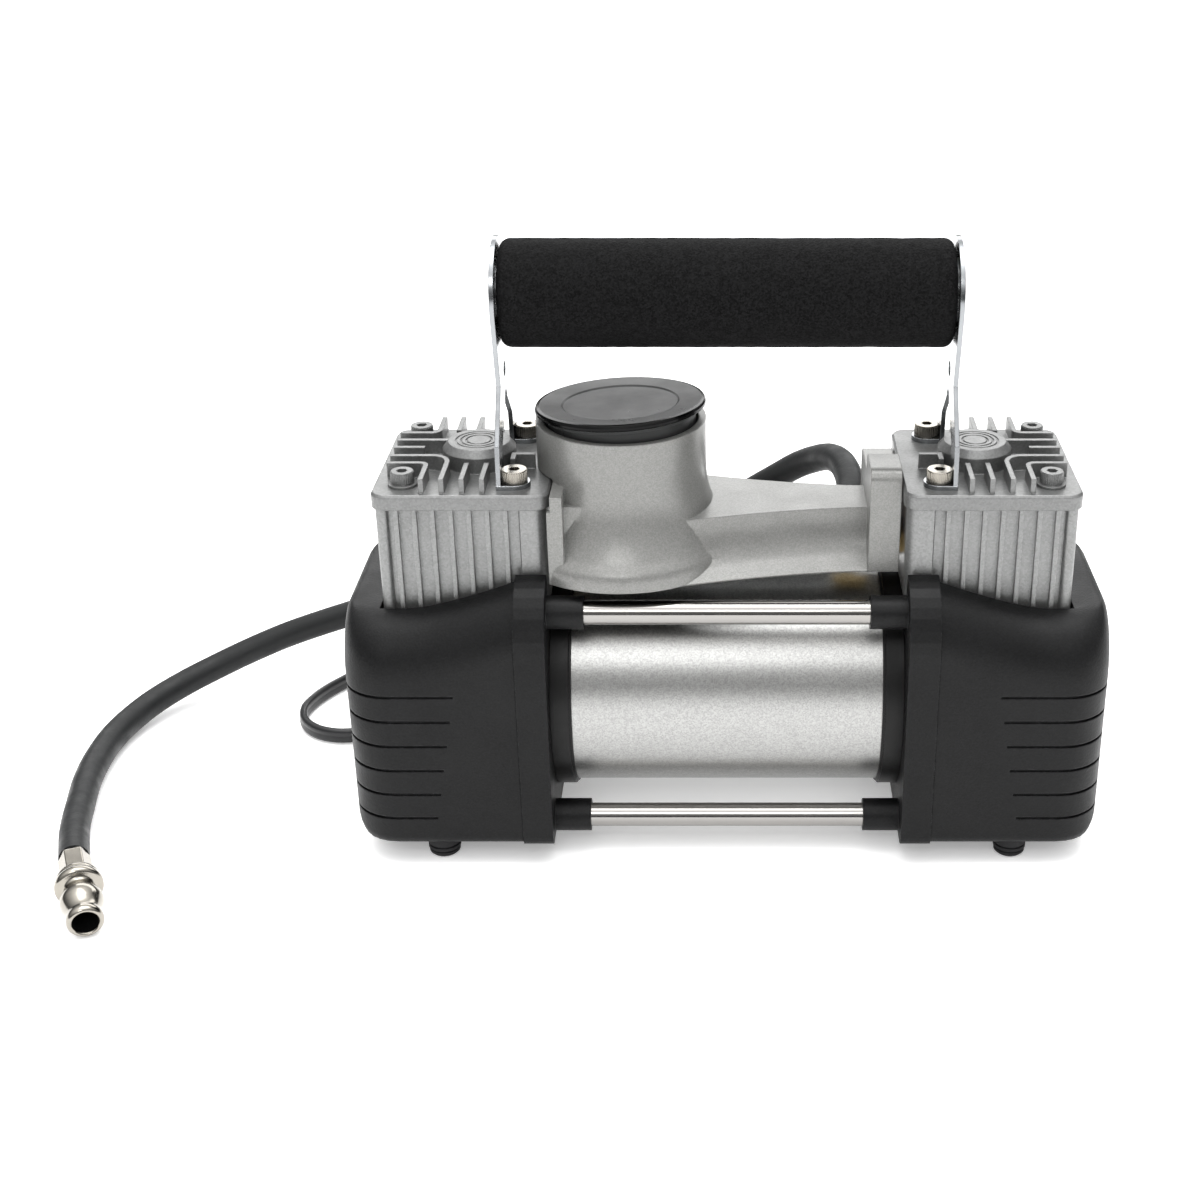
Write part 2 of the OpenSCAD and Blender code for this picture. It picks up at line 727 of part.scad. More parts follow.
holder_w = 8;
brush_w = 5;
brush_t = 6;
brush_back = commutator_d / 2 + 10;
plate_in = can_l / 2 - 6 - 1.6;
brush_x = plate_in - brush_w / 2 - 0.4;
module brush_plate() {
    out_r = can_in_r - 0.3;
    color("#6b4a2c") {
        difference() {
            rod_x(2 * out_r, plate_in, plate_in + 1.6);
            rod_x(2 * bell_hub_r + 1, plate_in - over, plate_in + 1.6 + over);
        }
        front_and_back() difference() {
            box(brush_x - 4.5, plate_in + e, commutator_d / 2 + 1.5, can_in_r - magnet_t - 1,
                axis_h - holder_w / 2, axis_h + holder_w / 2);
            box(brush_x - brush_w / 2 - seat_gap, brush_x + brush_w / 2 + seat_gap, 0,
                can_in_r - magnet_t - 2.5, axis_h - brush_t / 2 - seat_gap,
                axis_h + brush_t / 2 + seat_gap);
        }
    }
}

module carbon_brushes() {
    color("#2c2c2e") front_and_back()
        box(brush_x - brush_w / 2, brush_x + brush_w / 2, commutator_d / 2 + run_gap,
            brush_back, axis_h - brush_t / 2, axis_h + brush_t / 2);
}

module brush_springs() {
    y1 = can_in_r - magnet_t - 2.5;
    color("#b0b0a8") front_and_back() translate([brush_x, brush_back, axis_h])
        rotate([-90, 0, 0]) for (i = [0 : 3]) translate([0, 0, i * (y1 - brush_back) / 4])
            difference() {
                cylinder(d = 4.2, h = (y1 - brush_back) / 4);
                translate([0, 0, -over]) cylinder(d = 2.6, h = y1);
            }
}

module motor_shaft() {
    color("#b8bcc0") rod_x(shaft_d, -crank_x - crank_t, crank_x + crank_t);
}

slots = 12;
slot_w = 4;
module slot_bars(w, r0, r1) {
    for (i = [0 : slots - 1]) rotate([0, 0, i * 360 / slots])
        translate([r0, -w / 2]) square([r1 - r0, w]);
}

module armature_core() {
    color("#7c7f84") along_x(-core_l / 2, core_l / 2) translate([0, axis_h]) difference() {
        circle(d = core_d);
        circle(d = shaft_d + 2 * seat_gap);
        slot_bars(slot_w, core_d / 2 - 10, core_d);
    }
}

module armature_windings() {
    r = core_d / 2 - 2;
    color("#b06a34") {
        along_x(-core_l / 2 - 1, core_l / 2 + 1) translate([0, axis_h])
            slot_bars(slot_w - 2 * seat_gap, core_d / 2 - 9.5, r);
        both_sides() turn_x() {
            translate([shaft_d / 2 + 2, core_l / 2 + 0.5]) square([r - 5 - shaft_d / 2, 5]);
            translate([r - 3, core_l / 2 + 3.5 - e]) intersection() {
                circle(3);
                translate([-3, -3]) square([6, 5]);
            }
        }
    }
}

module commutator() {
    color("#b5763d") difference() {
        rod_x(commutator_d, core_l / 2 + 5.5, bearing_in - 1.5);
        rod_x(shaft_d + 2 * seat_gap, 0, can_l);
    }
}

// A crank disc with its weight opposite the pin. up is +1 for a pin above the shaft.
module crank_disc(up) {
    along_x(crank_x, crank_x + crank_t) translate([0, axis_h]) difference() {
        union() {
            difference() {
                circle(d = crank_d);
                translate([-crank_d, up > 0 ? 0 : -crank_d]) square([2 * crank_d, crank_d]);
            }
            circle(d = 2 * (crank_r + pin_d / 2 + 2));
        }
        circle(d = shaft_d + 2 * seat_gap);
    }
}

module crank_discs() {
    color("#8a8d91") {
        crank_disc(-1);
        mirror([1, 0, 0]) crank_disc(1);
    }
}

// Wobble piston at a crank pin height, on the +X side.
function crown_at(up) = up > 0 ? crown_z : crown_z - stroke;
function pin_at(up) = axis_h + up * crank_r;

piston_d = bore_d - 0.8;
cup_h = 2.4;
crown_t = 3;
skirt_t = 4;
module connecting_rod(up) {
    top = crown_at(up);
    z = pin_at(up);
    color("#a2a5a8") difference() {
        union() {
            translate([cyl_x, 0, top - crown_t]) cylinder(d = piston_d, h = crown_t);
            translate([cyl_x, 0, top - crown_t - cup_h - e])
                cylinder(d = piston_d - 4, h = cup_h + 2 * e);
            translate([cyl_x, 0, top - crown_t - cup_h - skirt_t])
                cylinder(d = piston_d, h = skirt_t);
            box(cyl_x - 2.5, cyl_x + 2.5, -5, 5, z + rod_bearing_d / 2,
                top - crown_t - cup_h - 1);
            rod_x(rod_bearing_d + 7, rod_x, rod_x + big_end_w, 0, z);
        }
        rod_x(rod_bearing_d + 2 * seat_gap, rod_x - over, rod_x + big_end_w + over, 0, z);
    }
}

module piston_cup(up) {
    color("#3b3532") translate([cyl_x, 0, crown_at(up) - crown_t - cup_h + seat_gap])
        difference() {
            cylinder(d = bore_d - 2 * cup_gap, h = cup_h - 2 * seat_gap);
            translate([0, 0, -over])
                cylinder(d = piston_d - 4 + 2 * seat_gap, h = cup_h + 2 * over);
        }
}

module big_end_bearing(up) {
    w = big_end_w - 2;
    color("#9aa0a6") translate([rod_x + 1, 0, pin_at(up)]) rotate([0, 90, 0]) difference() {
        cylinder(d = rod_bearing_d, h = w);
        translate([0, 0, -over]) cylinder(d = pin_d + 0.06, h = w + 2 * over);
        for (x = [-over, w - 0.5]) translate([0, 0, x]) difference() {
            cylinder(d = rod_bearing_d - 3.5, h = 0.5 + over);
            cylinder(d = pin_d + 3, h = 0.5 + over);
        }
    }
}

module crank_pin(up) {
    color("#b8bcc0") rod_x(pin_d, pin_x, rod_x + big_end_w - 1, 0, pin_at(up));
}

module connecting_rod_left() { mirror([1, 0, 0]) connecting_rod(1); }
module connecting_rod_right() { connecting_rod(-1); }
module piston_cup_left() { mirror([1, 0, 0]) piston_cup(1); }
module piston_cup_right() { piston_cup(-1); }
module big_end_bearing_left() { mirror([1, 0, 0]) big_end_bearing(1); }
module big_end_bearing_right() { big_end_bearing(-1); }
module crank_pin_left() { mirror([1, 0, 0]) crank_pin(1); }
module crank_pin_right() { crank_pin(-1); }

// Manifold under the cover: a pipe from block to block, with a tee for the hose.

pipe_d = 8;
pipe_y = 2;
pipe_z = axis_h + cover_foot + 3;
tee_x = 42;
tee_size = 11;
barb_y = 22;
module manifold_pipe() {
    reach = cyl_x - block_l / 2 + 6;
    color("#a5aab0") difference() {
        rod_x(pipe_d, -reach, reach, pipe_y, pipe_z);
        rod_x(pipe_d - 2, -reach - over, reach + over, pipe_y, pipe_z);
    }
}

module manifold_nuts() {
    x = cyl_x - block_l / 2 - seat_gap;
    color("#b49a55") both_sides() difference() {
        translate([x - 7, pipe_y, pipe_z]) rotate([0, 90, 0]) cylinder(d = 14, h = 7, $fn = 6);
        rod_x(pipe_d + 2 * seat_gap, 0, x + over, pipe_y, pipe_z);
    }
}

module outlet_tee() {
    s = tee_size / 2;
    color("#b49a55") difference() {
        union() {
            box(tee_x - s, tee_x + s, pipe_y - s, pipe_y + s, pipe_z - s, pipe_z + s);
            translate([tee_x, pipe_y + s - e, pipe_z]) rotate([-90, 0, 0]) {
                cylinder(d = 11, h = 3, $fn = 6);
                cylinder(d = 7.6, h = barb_y - pipe_y - s);
            }
        }
        rod_x(pipe_d + 2 * seat_gap, tee_x - s - over, tee_x + s + over, pipe_y, pipe_z);
        translate([tee_x, pipe_y + s / 2, pipe_z]) rotate([-90, 0, 0])
            cylinder(d = 4.4, h = barb_y);
    }
}

// Silver cover. Every outer form takes an inset, so that the hollow follows it.

cover_y = 0;
cover_z = axis_h + cover_foot;
cover_left = plate_x - 1;
cover_right = cyl_x - head_l / 2 - 0.4;

// How far x lies from the right head, from 0 there to 1 at the tower.
function from_head(x) = max(0, (cover_right - 8 - x) / 64);

// Half width of the arm's foot at x: wide at the tower, narrow at the right head.
function arm_half(x) = x < -20 ? tower_d / 2 - 4 : 20.6 + 12.2 * pow(from_head(x), 1.6);

// One side of the arm from the foot up to its crest, as [inward, up] from the foot: a cove
// that flares out at the foot and stands upright under the crest.
crest_in = 11.2;
arm_h = axis_h + arm_top - cover_z;
arm_side = concat([[0, 0]], [for (a = [26 : 12.8 : 91])
    [crest_in * sin(a), 1.5 + (arm_h - 1.5) * (1 - cos(a))]]);

// YZ outline of the arm at x, the same on both sides.
function arm_ring(x, i) =
    let (w = arm_half(x) - i, down = i > 0 ? over : 0,
        right = [for (p = arm_side) [w - p[0], cover_z + p[1] - (p[1] > 0 ? i : down)]])
    [for (p = concat(right, [for (j = [len(right) - 1 : -1 : 0]) [-right[j][0], right[j][1]]]))
        [x, p[0], p[1]]];

module arm(i) {
    xs = [-30 + 2 * i, -17, -8, 0, 10, 20, 30, 40, cover_right - 4 + 5 * sign(i)];
    loft([for (x = xs) arm_ring(x, i)]);
}

// The tower: a low wall at its foot, a concave sweep and the round upper part.
sweep_h = 23;
module tower(i) {
    r = tower_d / 2 - i;
    f = cover_flare;
    z = cover_z - over * sign(i);
    wall = cover_z + cover_lip - i / 2;
    translate([tower_x, cover_y, 0]) rotate_extrude() polygon(concat(
        [[0, z], [r + f, z], [r + f - 0.4, wall - 2.5], [r + f - 1.3, wall - 0.8]],
        [for (t = [0 : 0.125 : 1]) [r + (f - 2.9) * pow(1 - t, 2.2), wall + 0.6 + sweep_h * t]],
        [[r, axis_h + tower_top + over * sign(i)], [0, axis_h + tower_top + over * sign(i)]]));
}

// Raised wall beside the right head, lower at the rear.
end_wall_t = 10;
rear_drop = 6.8;
module end_wall(i) {
    y0 = -21 + i;
    y1 = 21 - i;
    step = -2 - i;
    z1 = axis_h + end_wall_top - i;
    z2 = z1 - rear_drop;
    z0 = cover_z - over * sign(i);
    along_x(cover_right - end_wall_t + i, cover_right + over * sign(i)) {
        translate([y0, z0]) square([y1 - y0, z2 - 4 - z0]);
        translate([y0, z2 - 5]) square([step - y0, z1 - z2 + 1]);
        translate([y0 + 4, z1 - 5]) square([step - y0 - 8, 5]);
        translate([step - 5, z2 - 5]) square([y1 - step + 1, 5]);
        for (y = [y0 + 4, step - 4]) translate([y, z1 - 4]) circle(4);
        translate([y1 - 4, z2 - 4]) circle(4);
    }
}

// Body between the tower and the left block, with a wide flange against the block.
skirt_y = 25.4;
flange_y = 31;
flange_t = 5;
flange_top = 77;
module left_skirt(i) {
    x0 = -cover_left - over * sign(i);
    z0 = cover_z - over * sign(i);
    box(x0, tower_x, -skirt_y + i, skirt_y - i, z0, deck_z - 1 - i);
    box(x0, -cover_left + flange_t - i, -flange_y + i, flange_y - i, z0, axis_h + flange_top - i);
}

module switch_boss(i) {
    box(tower_x - switch_w / 2 + i, tower_x + switch_w / 2 - i, 10, switch_face - i,
        switch_z - switch_h / 2 + i, switch_z + switch_h / 2 - i);
}

module cover_form(i) {
    tower(i);
    arm(i);
    left_skirt(i);
    end_wall(i);
}

module manifold_cover() {
    color("#b9bbb6") difference() {
        union() {
            cover_form(0);
            switch_boss(0);
        }
        cover_form(cover_wall);
        // Room for the left block and head, the switch and the hose barb.
        box(-90, -cover_left, -60, 60, 0, deck_z + e);
        box(-90, -cyl_x + head_l / 2 + 0.4, -60, 60, deck_z - 0.5, plate_z + 0.4);
        box(tower_x - rocker_w / 2 - 3, tower_x + rocker_w / 2 + 3, 5, switch_face + over,
            switch_z - rocker_h / 2 - 3, switch_z + rocker_h / 2 + 3);
        translate([tee_x, 0, pipe_z + 1]) rotate([-90, 0, 0]) cylinder(d = hose_d + 2, h = 60);
    }
}

// The cap is a push-in plug: a dished top, a thin rim, a tapered neck and a stem.
module gauge_port_cap() {
    r = cap_d / 2;
    s = cap_stem_d / 2;
    color("#18181a") translate([tower_x, cover_y, cap_base + cap_rise])
        rotate([-cap_tilt, -cap_tilt, 0]) rotate_extrude()
            polygon([[0, 1.2], [18.6, 1.2], [19.2, 1.6], [r - 1.6, 2.2], [r - 0.5, 2],
                [r, 1.3], [r, 0.4], [r - 0.6, 0], [r - 1.8, -0.5], [r - 2.2, -1.4],
                [s, -1.8], [s, -cap_rise - cap_stem_l + 1], [s - 1, -cap_rise - cap_stem_l],
                [s - 2.5, -cap_rise - cap_stem_l], [s - 2.5, -1.6], [0, -1.6]]);
}

// Rocker switch on the rear of the tower.

switch_w = 21;
switch_h = 28;
switch_z = axis_h + 67;
switch_face = 36;
frame_t = 1.2;
module switch_housing() {
    w = rocker_w / 2 + 3 - seat_gap;
    h = rocker_h / 2 + 3 - seat_gap;
    color("#151516") difference() {
        union() {
            box(tower_x - w, tower_x + w, switch_face - 13, switch_face + e,
                switch_z - h, switch_z + h);
            box(tower_x - w - 1.4, tower_x + w + 1.4, switch_face, switch_face + frame_t,
                switch_z - h - 1.4, switch_z + h + 1.4);
        }
        box(tower_x - rocker_w / 2 - run_gap, tower_x + rocker_w / 2 + run_gap,
            switch_face - 10.5, switch_face + 5, switch_z - rocker_h / 2 - 1,
            switch_z + rocker_h / 2 + 1);
    }
}

// The rocker turns about X. It rests on its off side, tipped by rocker_tip.
rocker_y = switch_face - 1;
module switch_rocker() {
    r = rocker_h / 2 + 0.5;
    color("#b3261e") translate([tower_x - rocker_w / 2, rocker_y, switch_z])
        rotate([-rocker_tip, 0, 0]) rotate([90, 0, 90]) linear_extrude(rocker_w)
            intersection() {
                circle(r);
                polygon([[-5, -rocker_h / 2], [-5, rocker_h / 2],
                    [3.4, rocker_h / 2], [2, 0], [3.4, -rocker_h / 2]]);
            }
}

// Handle: two zinc-plated brackets, a tube between them and a foam grip on it.

grip_z = axis_h + grip_h;
module handle_bracket() {
    foot_z = plate_z;
    foot_r = leg_w / 2;
    fy = screw_dy / 2;
    neck_z = grip_z - 27;
    difference() {
        union() {
            along_x(bracket_x - bracket_t, bracket_x) {
                difference() {
                    union() {
                        translate([0, grip_z]) circle(d = bracket_d);
                        polygon([[-bracket_d / 2 + 0.6, grip_z - 4],
                            [bracket_d / 2 - 0.6, grip_z - 4], [12, neck_z],
                            [fy + foot_r - 2, foot_z + 14], [fy + foot_r, foot_z],
                            [-fy - foot_r, foot_z], [-fy - foot_r + 2, foot_z + 14],
                            [-12, neck_z]]);
                    }
                    // The slot between the two legs.
                    translate([0, neck_z - 8]) circle(3);
                    polygon([[-3, neck_z - 8], [3, neck_z - 8],
                        [fy - foot_r - 2, foot_z + 12], [fy - foot_r, foot_z - 1],
                        [-fy + foot_r, foot_z - 1], [-fy + foot_r + 2, foot_z + 12]]);
                }
            }
            // Feet bent inwards under the inner head screws.
            for (sy = [-1, 1]) {
                box(screw_x[0], bracket_x, sy * fy - foot_r, sy * fy + foot_r,
                    foot_z, foot_z + bracket_t);
                translate([screw_x[0], sy * fy, foot_z]) cylinder(r = foot_r, h = bracket_t);
            }
        }
        for (sy = [-1, 1]) translate([screw_x[0], sy * fy, foot_z - over])
            cylinder(d = screw_d + 2 * seat_gap, h = bracket_t + 2 * over);
        rod_x(5, bracket_x - 10, bracket_x + over, 0, neck_z + 2);
        rod_x(handle_screw_d + 2 * seat_gap, bracket_x - 10, bracket_x + over, 0, grip_z);
    }
}

module handle_bracket_left() { color("#c3c8cf") mirror([1, 0, 0]) handle_bracket(); }
module handle_bracket_right() { color("#c3c8cf") handle_bracket(); }

handle_screw_d = 4;
tube_end = bracket_x - bracket_t;
module handle_tube() {
    color("#9ea3a8") difference() {
        rod_x(tube_d, -tube_end, tube_end, 0, grip_z);
        rod_x(tube_d - 3, -tube_end + 4, tube_end - 4, 0, grip_z);
        both_sides() rod_x(handle_screw_d + 2 * seat_gap, tube_end - 5, tube_end + over, 0,
            grip_z);
    }
}

module foam_grip() {
    r = grip_d / 2;
    r_in = tube_d / 2 + seat_gap;
    x = tube_end - 0.3;
    color("#141414") turn_x(grip_z) polygon(concat(
        [[r_in, -x], [r - 3, -x]],
        [for (a = [-90 : 22.5 : 0]) [r - 3 + 3 * cos(a), -x + 3 + 3 * sin(a)]],
        [for (a = [0 : 22.5 : 90]) [r - 3 + 3 * cos(a), x - 3 + 3 * sin(a)]],
        [[r - 3, x], [r_in, x]]));
}

module handle_screws() {
    color("#c3c8cf") both_sides() {
        rod_x(8, bracket_x, bracket_x + 1.2, 0, grip_z);
        rod_x(handle_screw_d, bracket_x - 6, bracket_x + e, 0, grip_z);
    }
}

// Air hose: out of the rear of the cover, round behind the machine and onto the floor in front.

hose_path = [[42, 22, 100.2], [43.5, 34, 103.3], [43, 44, 105.5], [41, 52.5, 106.5],
    [37.5, 60.5, 105.5], [33, 68, 102], [26.5, 74.5, 97], [18.5, 80, 90], [8.5, 84.5, 82],
    [-4, 87, 73], [-18, 88, 65.5], [-34, 88, 60.5], [-52, 88, 56], [-71, 87, 52], [-90, 86, 48],
    [-108, 85, 43], [-125, 84, 38], [-142, 83, 33], [-158, 82, 28], [-173, 80.5, 23],
    [-187, 77, 18], [-199.5, 72, 13.5], [-210.5, 65, 10], [-219.5, 55.5, 7.5],
    [-225.5, 44, 6], [-229, 31, 5.3], [-230, 16, 5.1], [-229, 0, 5.1], [-226, -17, 5.1],
    [-222, -35, 5.3], [-215, -56, 6]];
module air_hose() { color("#37393b") sweep(hose_path, hose_d, 10); }

// The ferrule and the plug lie on the floor in line with the hose's end.
nozzle = hose_path[len(hose_path) - 1];
nozzle_turn = -67;
module on_nozzle() {
    translate(nozzle) rotate([0, 0, nozzle_turn]) rotate([0, 90, 0]) children();
}

module hose_ferrule() {
    color("#b7b2a6") on_nozzle() rotate_extrude() polygon([[0, 0], [hose_d / 2 + 0.2, 0],
        [hose_d / 2 + 0.6, 0.6], [hose_d / 2 + 0.6, 10], [hose_d / 2, 10.6], [0, 10.6]]);
}

quick_hole_d = 7.4;
module quick_plug() {
    r = quick_d / 2;
    color("#bdb8ac") on_nozzle() rotate_extrude() polygon([[0, 10.6], [r - 1, 10.6],
        [r - 0.2, 11.4], [r - 0.2, 14.6], [r - 1.6, 15.4], [r - 1.6, 17.4], [r - 0.6, 18],
        [r - 0.2, 18.8], [r - 0.2, 21], [r - 2, 22.6], [r - 2, 25], [r - 0.6, 26.2], [r - 0.2, 27], [r - 0.2, 33],
        [r - 1, 34.4], [quick_hole_d / 2, 34.4], [quick_hole_d / 2, 20], [0, 20]]);
}

// Power lead: out of the rear of the left casing, round one bight on the floor beside it, then
// into a tied hank behind the machine. Its plug lies in front of the hank.

relief_l = 26;
module strain_relief() {
    color("#141414") translate([exit_x, half_w, exit_z]) rotate([-90, 0, 0])
        difference() {
            union() {
                translate([0, 0, -casing_wall - 1.5]) cylinder(d = gland_d + 2, h = 1.4);
                translate([0, 0, -casing_wall - 1.5])
                    cylinder(d = gland_d, h = casing_wall + 1.6);
                cylinder(d = gland_d + 3, h = 2);
                translate([0, 0, 2 - e]) cylinder(d1 = gland_d, d2 = cord_d + 1.6,
                    h = relief_l - 2);
            }
            translate([0, 0, relief_l - 6]) cylinder(d = cord_d + 0.1, h = 7);
        }
}

cord_path = [[exit_x, half_w + relief_l - 6, exit_z], [-100, 73, 19.6], [-101.2, 80, 18],
    [-104.6, 87, 15], [-110, 93, 11.6], [-117.5, 97, 8.4], [-126, 98, 5.8], [-134.5, 95.8, 4.2],
    [-141.8, 91, 3.3], [-147, 84.5, 3], [-151, 77.5, 3], [-155, 70.5, 3], [-159, 62.8, 3],
    [-161.4, 54, 3], [-159.6, 45.2, 3], [-153.4, 38.4, 3], [-144.5, 35.5, 3],
    [-135.4, 37.4, 3], [-128, 44.4, 3], [-122.5, 53.5, 3], [-117.5, 62.3, 3],
    [-112.6, 70.8, 3], [-107.6, 79.4, 3], [-101.4, 88, 3], [-93.5, 95, 3], [-84.5, 99.4, 3],
    [-78, 100.6, 3]];
tail_path = [[-78, 100.4, 9], [-70, 99.9, 9.1], [-62, 97.4, 9.5], [-54, 93.3, 9.9],
    [-47, 89, 10.2], [-41, 85.9, 10.4], [-35, 84.2, 10.5]];
module power_cord() {
    color("#1a1a1a") {
        sweep(cord_path, cord_d, 8);
        sweep(tail_path, cord_d, 8);
    }
}

// The hank: a flat bundle along X, pulled together by its tie and spread at both ends.
hank_x = [-80, 20];
hank_y = 127.6;
hank_r = 28.5;
hank_waist = 12.4;
hank_h = 12;
tie_x = (hank_x[0] + hank_x[1]) / 2;

// Half width of the hank at distance t from the middle of its tie.
function hank_half(t) = hank_waist + (hank_r - hank_waist)
    * (1 - cos(180 * min(1, max(0, (abs(t) - 4) / (hank_x[1] - tie_x - 4))))) / 2;

module cord_hank() {
    run = hank_x[1] - tie_x;
    side = [for (t = [5 - run : 5 : run - 5]) [tie_x + t, hank_half(t)]];
    back = [for (i = [len(side) - 1 : -1 : 0]) [side[i][0], -side[i][1]]];
    right_end = [for (a = [90 : -10 : -90]) [hank_x[1] + hank_r * cos(a), hank_r * sin(a)]];
    left_end = [for (a = [-90 : -10 : -270]) [hank_x[0] + hank_r * cos(a), hank_r * sin(a)]];
    color("#1a1a1a") translate([0, hank_y, 0]) difference() {
        linear_extrude(hank_h) polygon(concat(side, right_end, back, left_end));
        translate([tie_x - 3.2, -hank_r, hank_h - 0.6]) cube([6.4, 2 * hank_r, 2]);
    }
}

module cord_tie() {
    w = hank_waist + 0.1;
    color("#222222") translate([tie_x - 3, hank_y, 0]) {
        translate([0, -w - 1.2, hank_h - 0.5]) cube([6, 2 * w + 2.4, 1.2]);
        for (y = [-w - 1.2, w]) translate([0, y, 0]) cube([6, 1.2, hank_h]);
    }
}

plug_at = [-36, 84, plug_d / 2];
plug_l = 60.5;
plug_nose = 10.5;
plug_boot = 14;
grip_groove = 7;
module power_plug() {
    r = plug_d / 2;
    grip = [plug_boot + 4.5, plug_l - plug_nose];
    groove = (grip[0] + grip[1] - grip_groove) / 2;
    tip_in = plug_l - tip_l - 2;
    color("#1b1b1c") translate(plug_at) rotate([0, 90, 0]) rotate_extrude() polygon([
        [0, 0], [cord_d / 2 + 0.8, 0], [5, plug_boot], [r - 2, plug_boot + 2], [r, grip[0]],
        [r, groove - 1], [r - 1.2, groove], [r - 1.2, groove + grip_groove],
        [r, groove + grip_groove + 1], [r, grip[1]], [r - 1.5, grip[1] + 1],
        [r - 1.5, plug_l - 2.5], [r - 3.5, plug_l], [tip_r + run_gap, plug_l],
        [tip_r + run_gap, tip_in], [0, tip_in]]);
}

tip_r = 3.2;
tip_l = 8;
module plug_tip() {
    color("#c9c4b8") translate([plug_at[0] + plug_l - tip_l + tip_travel, plug_at[1], plug_at[2]])
        rotate([0, 90, 0]) rotate_extrude() polygon([[0, 0], [tip_r, 0], [tip_r, tip_l - 2],
            [tip_r - 1.6, tip_l], [0, tip_l]]);
}

casing_shell_left();
casing_shell_right();
casing_plate_left();
casing_plate_right();
tie_rods();
tie_rod_screws();
casing_screws();
rubber_feet();
crankcases();
cylinder_block_left();
cylinder_block_right();
cylinder_sleeves();
valve_plates();
reed_valves();
head_gaskets();
cylinder_head_left();
cylinder_head_right();
outer_head_screws();
inner_head_screws();
motor_can();
field_magnets();
end_bells();
shaft_bearings();
brush_plate();
carbon_brushes();
brush_springs();
manifold_cover();
manifold_pipe();
manifold_nuts();
outlet_tee();
handle_bracket_left();
handle_bracket_right();
handle_tube();
foam_grip();
handle_screws();
switch_housing();
strain_relief();
power_cord();
cord_hank();
cord_tie();
power_plug();
air_hose();
hose_ferrule();
quick_plug();
gauge_port_cap();
switch_rocker();
plug_tip();
motor_shaft();
armature_core();
armature_windings();
commutator();
crank_discs();
connecting_rod_left();
connecting_rod_right();
piston_cup_left();
piston_cup_right();
big_end_bearing_left();
big_end_bearing_right();
crank_pin_left();
crank_pin_right();
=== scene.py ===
"""Portable 12 V twin-cylinder air compressor, dressed for a studio photograph.

Metres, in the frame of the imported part: X along the motor, Y away from the viewer, Z up.
The sections follow the machine as it is put together, from the motor out to its two cords.
"""

import math

import bmesh
import bpy
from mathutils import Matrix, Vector, noise


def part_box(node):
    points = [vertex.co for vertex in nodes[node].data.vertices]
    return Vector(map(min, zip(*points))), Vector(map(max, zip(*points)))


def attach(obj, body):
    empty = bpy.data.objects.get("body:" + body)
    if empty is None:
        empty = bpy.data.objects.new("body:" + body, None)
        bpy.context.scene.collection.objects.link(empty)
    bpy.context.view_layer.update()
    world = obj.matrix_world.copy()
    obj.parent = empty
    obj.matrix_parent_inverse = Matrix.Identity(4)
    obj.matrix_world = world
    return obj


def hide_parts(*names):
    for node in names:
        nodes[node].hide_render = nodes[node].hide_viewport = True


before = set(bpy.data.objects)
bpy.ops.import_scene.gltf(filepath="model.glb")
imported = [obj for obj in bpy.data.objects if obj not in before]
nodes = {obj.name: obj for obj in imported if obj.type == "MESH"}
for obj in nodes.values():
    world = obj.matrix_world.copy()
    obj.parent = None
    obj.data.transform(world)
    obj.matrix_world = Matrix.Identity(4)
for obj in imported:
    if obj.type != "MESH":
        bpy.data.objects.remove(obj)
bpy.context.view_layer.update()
scene = bpy.context.scene

# The camera stands about 0.65 m from the machine, a little above its handle, and looks down
# at it by 25.65 degrees, as the photographer did.
CAMERA_PLACE = (0.0, -0.55676, 0.34408)
CAMERA_DOWN = math.radians(25.65)
SENSOR_MM = 36.0
FOCAL_PIXELS = 1811.0
PICTURE_PIXELS = 1200.0
CENTRE_PIXEL = 727.0

camera_data = bpy.data.cameras.new("camera")
camera_data.sensor_width = SENSOR_MM
camera_data.lens = SENSOR_MM * FOCAL_PIXELS / PICTURE_PIXELS
camera_data.shift_x = (PICTURE_PIXELS / 2 - CENTRE_PIXEL) / PICTURE_PIXELS
camera_data.clip_start = 0.01
camera_data.clip_end = 50.0
camera = bpy.data.objects.new("camera", camera_data)
camera.location = CAMERA_PLACE
camera.rotation_euler = (math.pi / 2 - CAMERA_DOWN, 0.0, 0.0)
scene.collection.objects.link(camera)
scene.camera = camera

# The table is white translucent acrylic, lit a little from below as on a product stand, in a
# studio that is dim at eye level and bright overhead. Three soft boxes stand round it.
TABLE_SIZE = 12.0
TABLE_GAP = 0.0003
TABLE_GLOW = 0.30
MIDDLE = (0.0, 0.0, 0.1)
SKY = [(0.50, 0.09), (0.60, 0.16), (0.72, 0.55), (0.86, 1.25), (0.95, 2.2), (1.0, 4.5)]


def add_table():
    half = TABLE_SIZE / 2
    mesh = bpy.data.meshes.new("table")
    mesh.from_pydata([(-half, -half, 0), (half, -half, 0), (half, half, 0), (-half, half, 0)], [],
        [(0, 1, 2, 3)])
    acrylic = bpy.data.materials.new("white_acrylic")
    acrylic.use_nodes = True
    shader = acrylic.node_tree.nodes["Principled BSDF"]
    shader.inputs["Base Color"].default_value = (0.94, 0.94, 0.94, 1.0)
    shader.inputs["Roughness"].default_value = 0.9
    shader.inputs["Emission Color"].default_value = (1.0, 1.0, 1.0, 1.0)
    shader.inputs["Emission Strength"].default_value = TABLE_GLOW
    mesh.materials.append(acrylic)
    table = bpy.data.objects.new("table", mesh)
    table.location.z = -TABLE_GAP
    scene.collection.objects.link(table)


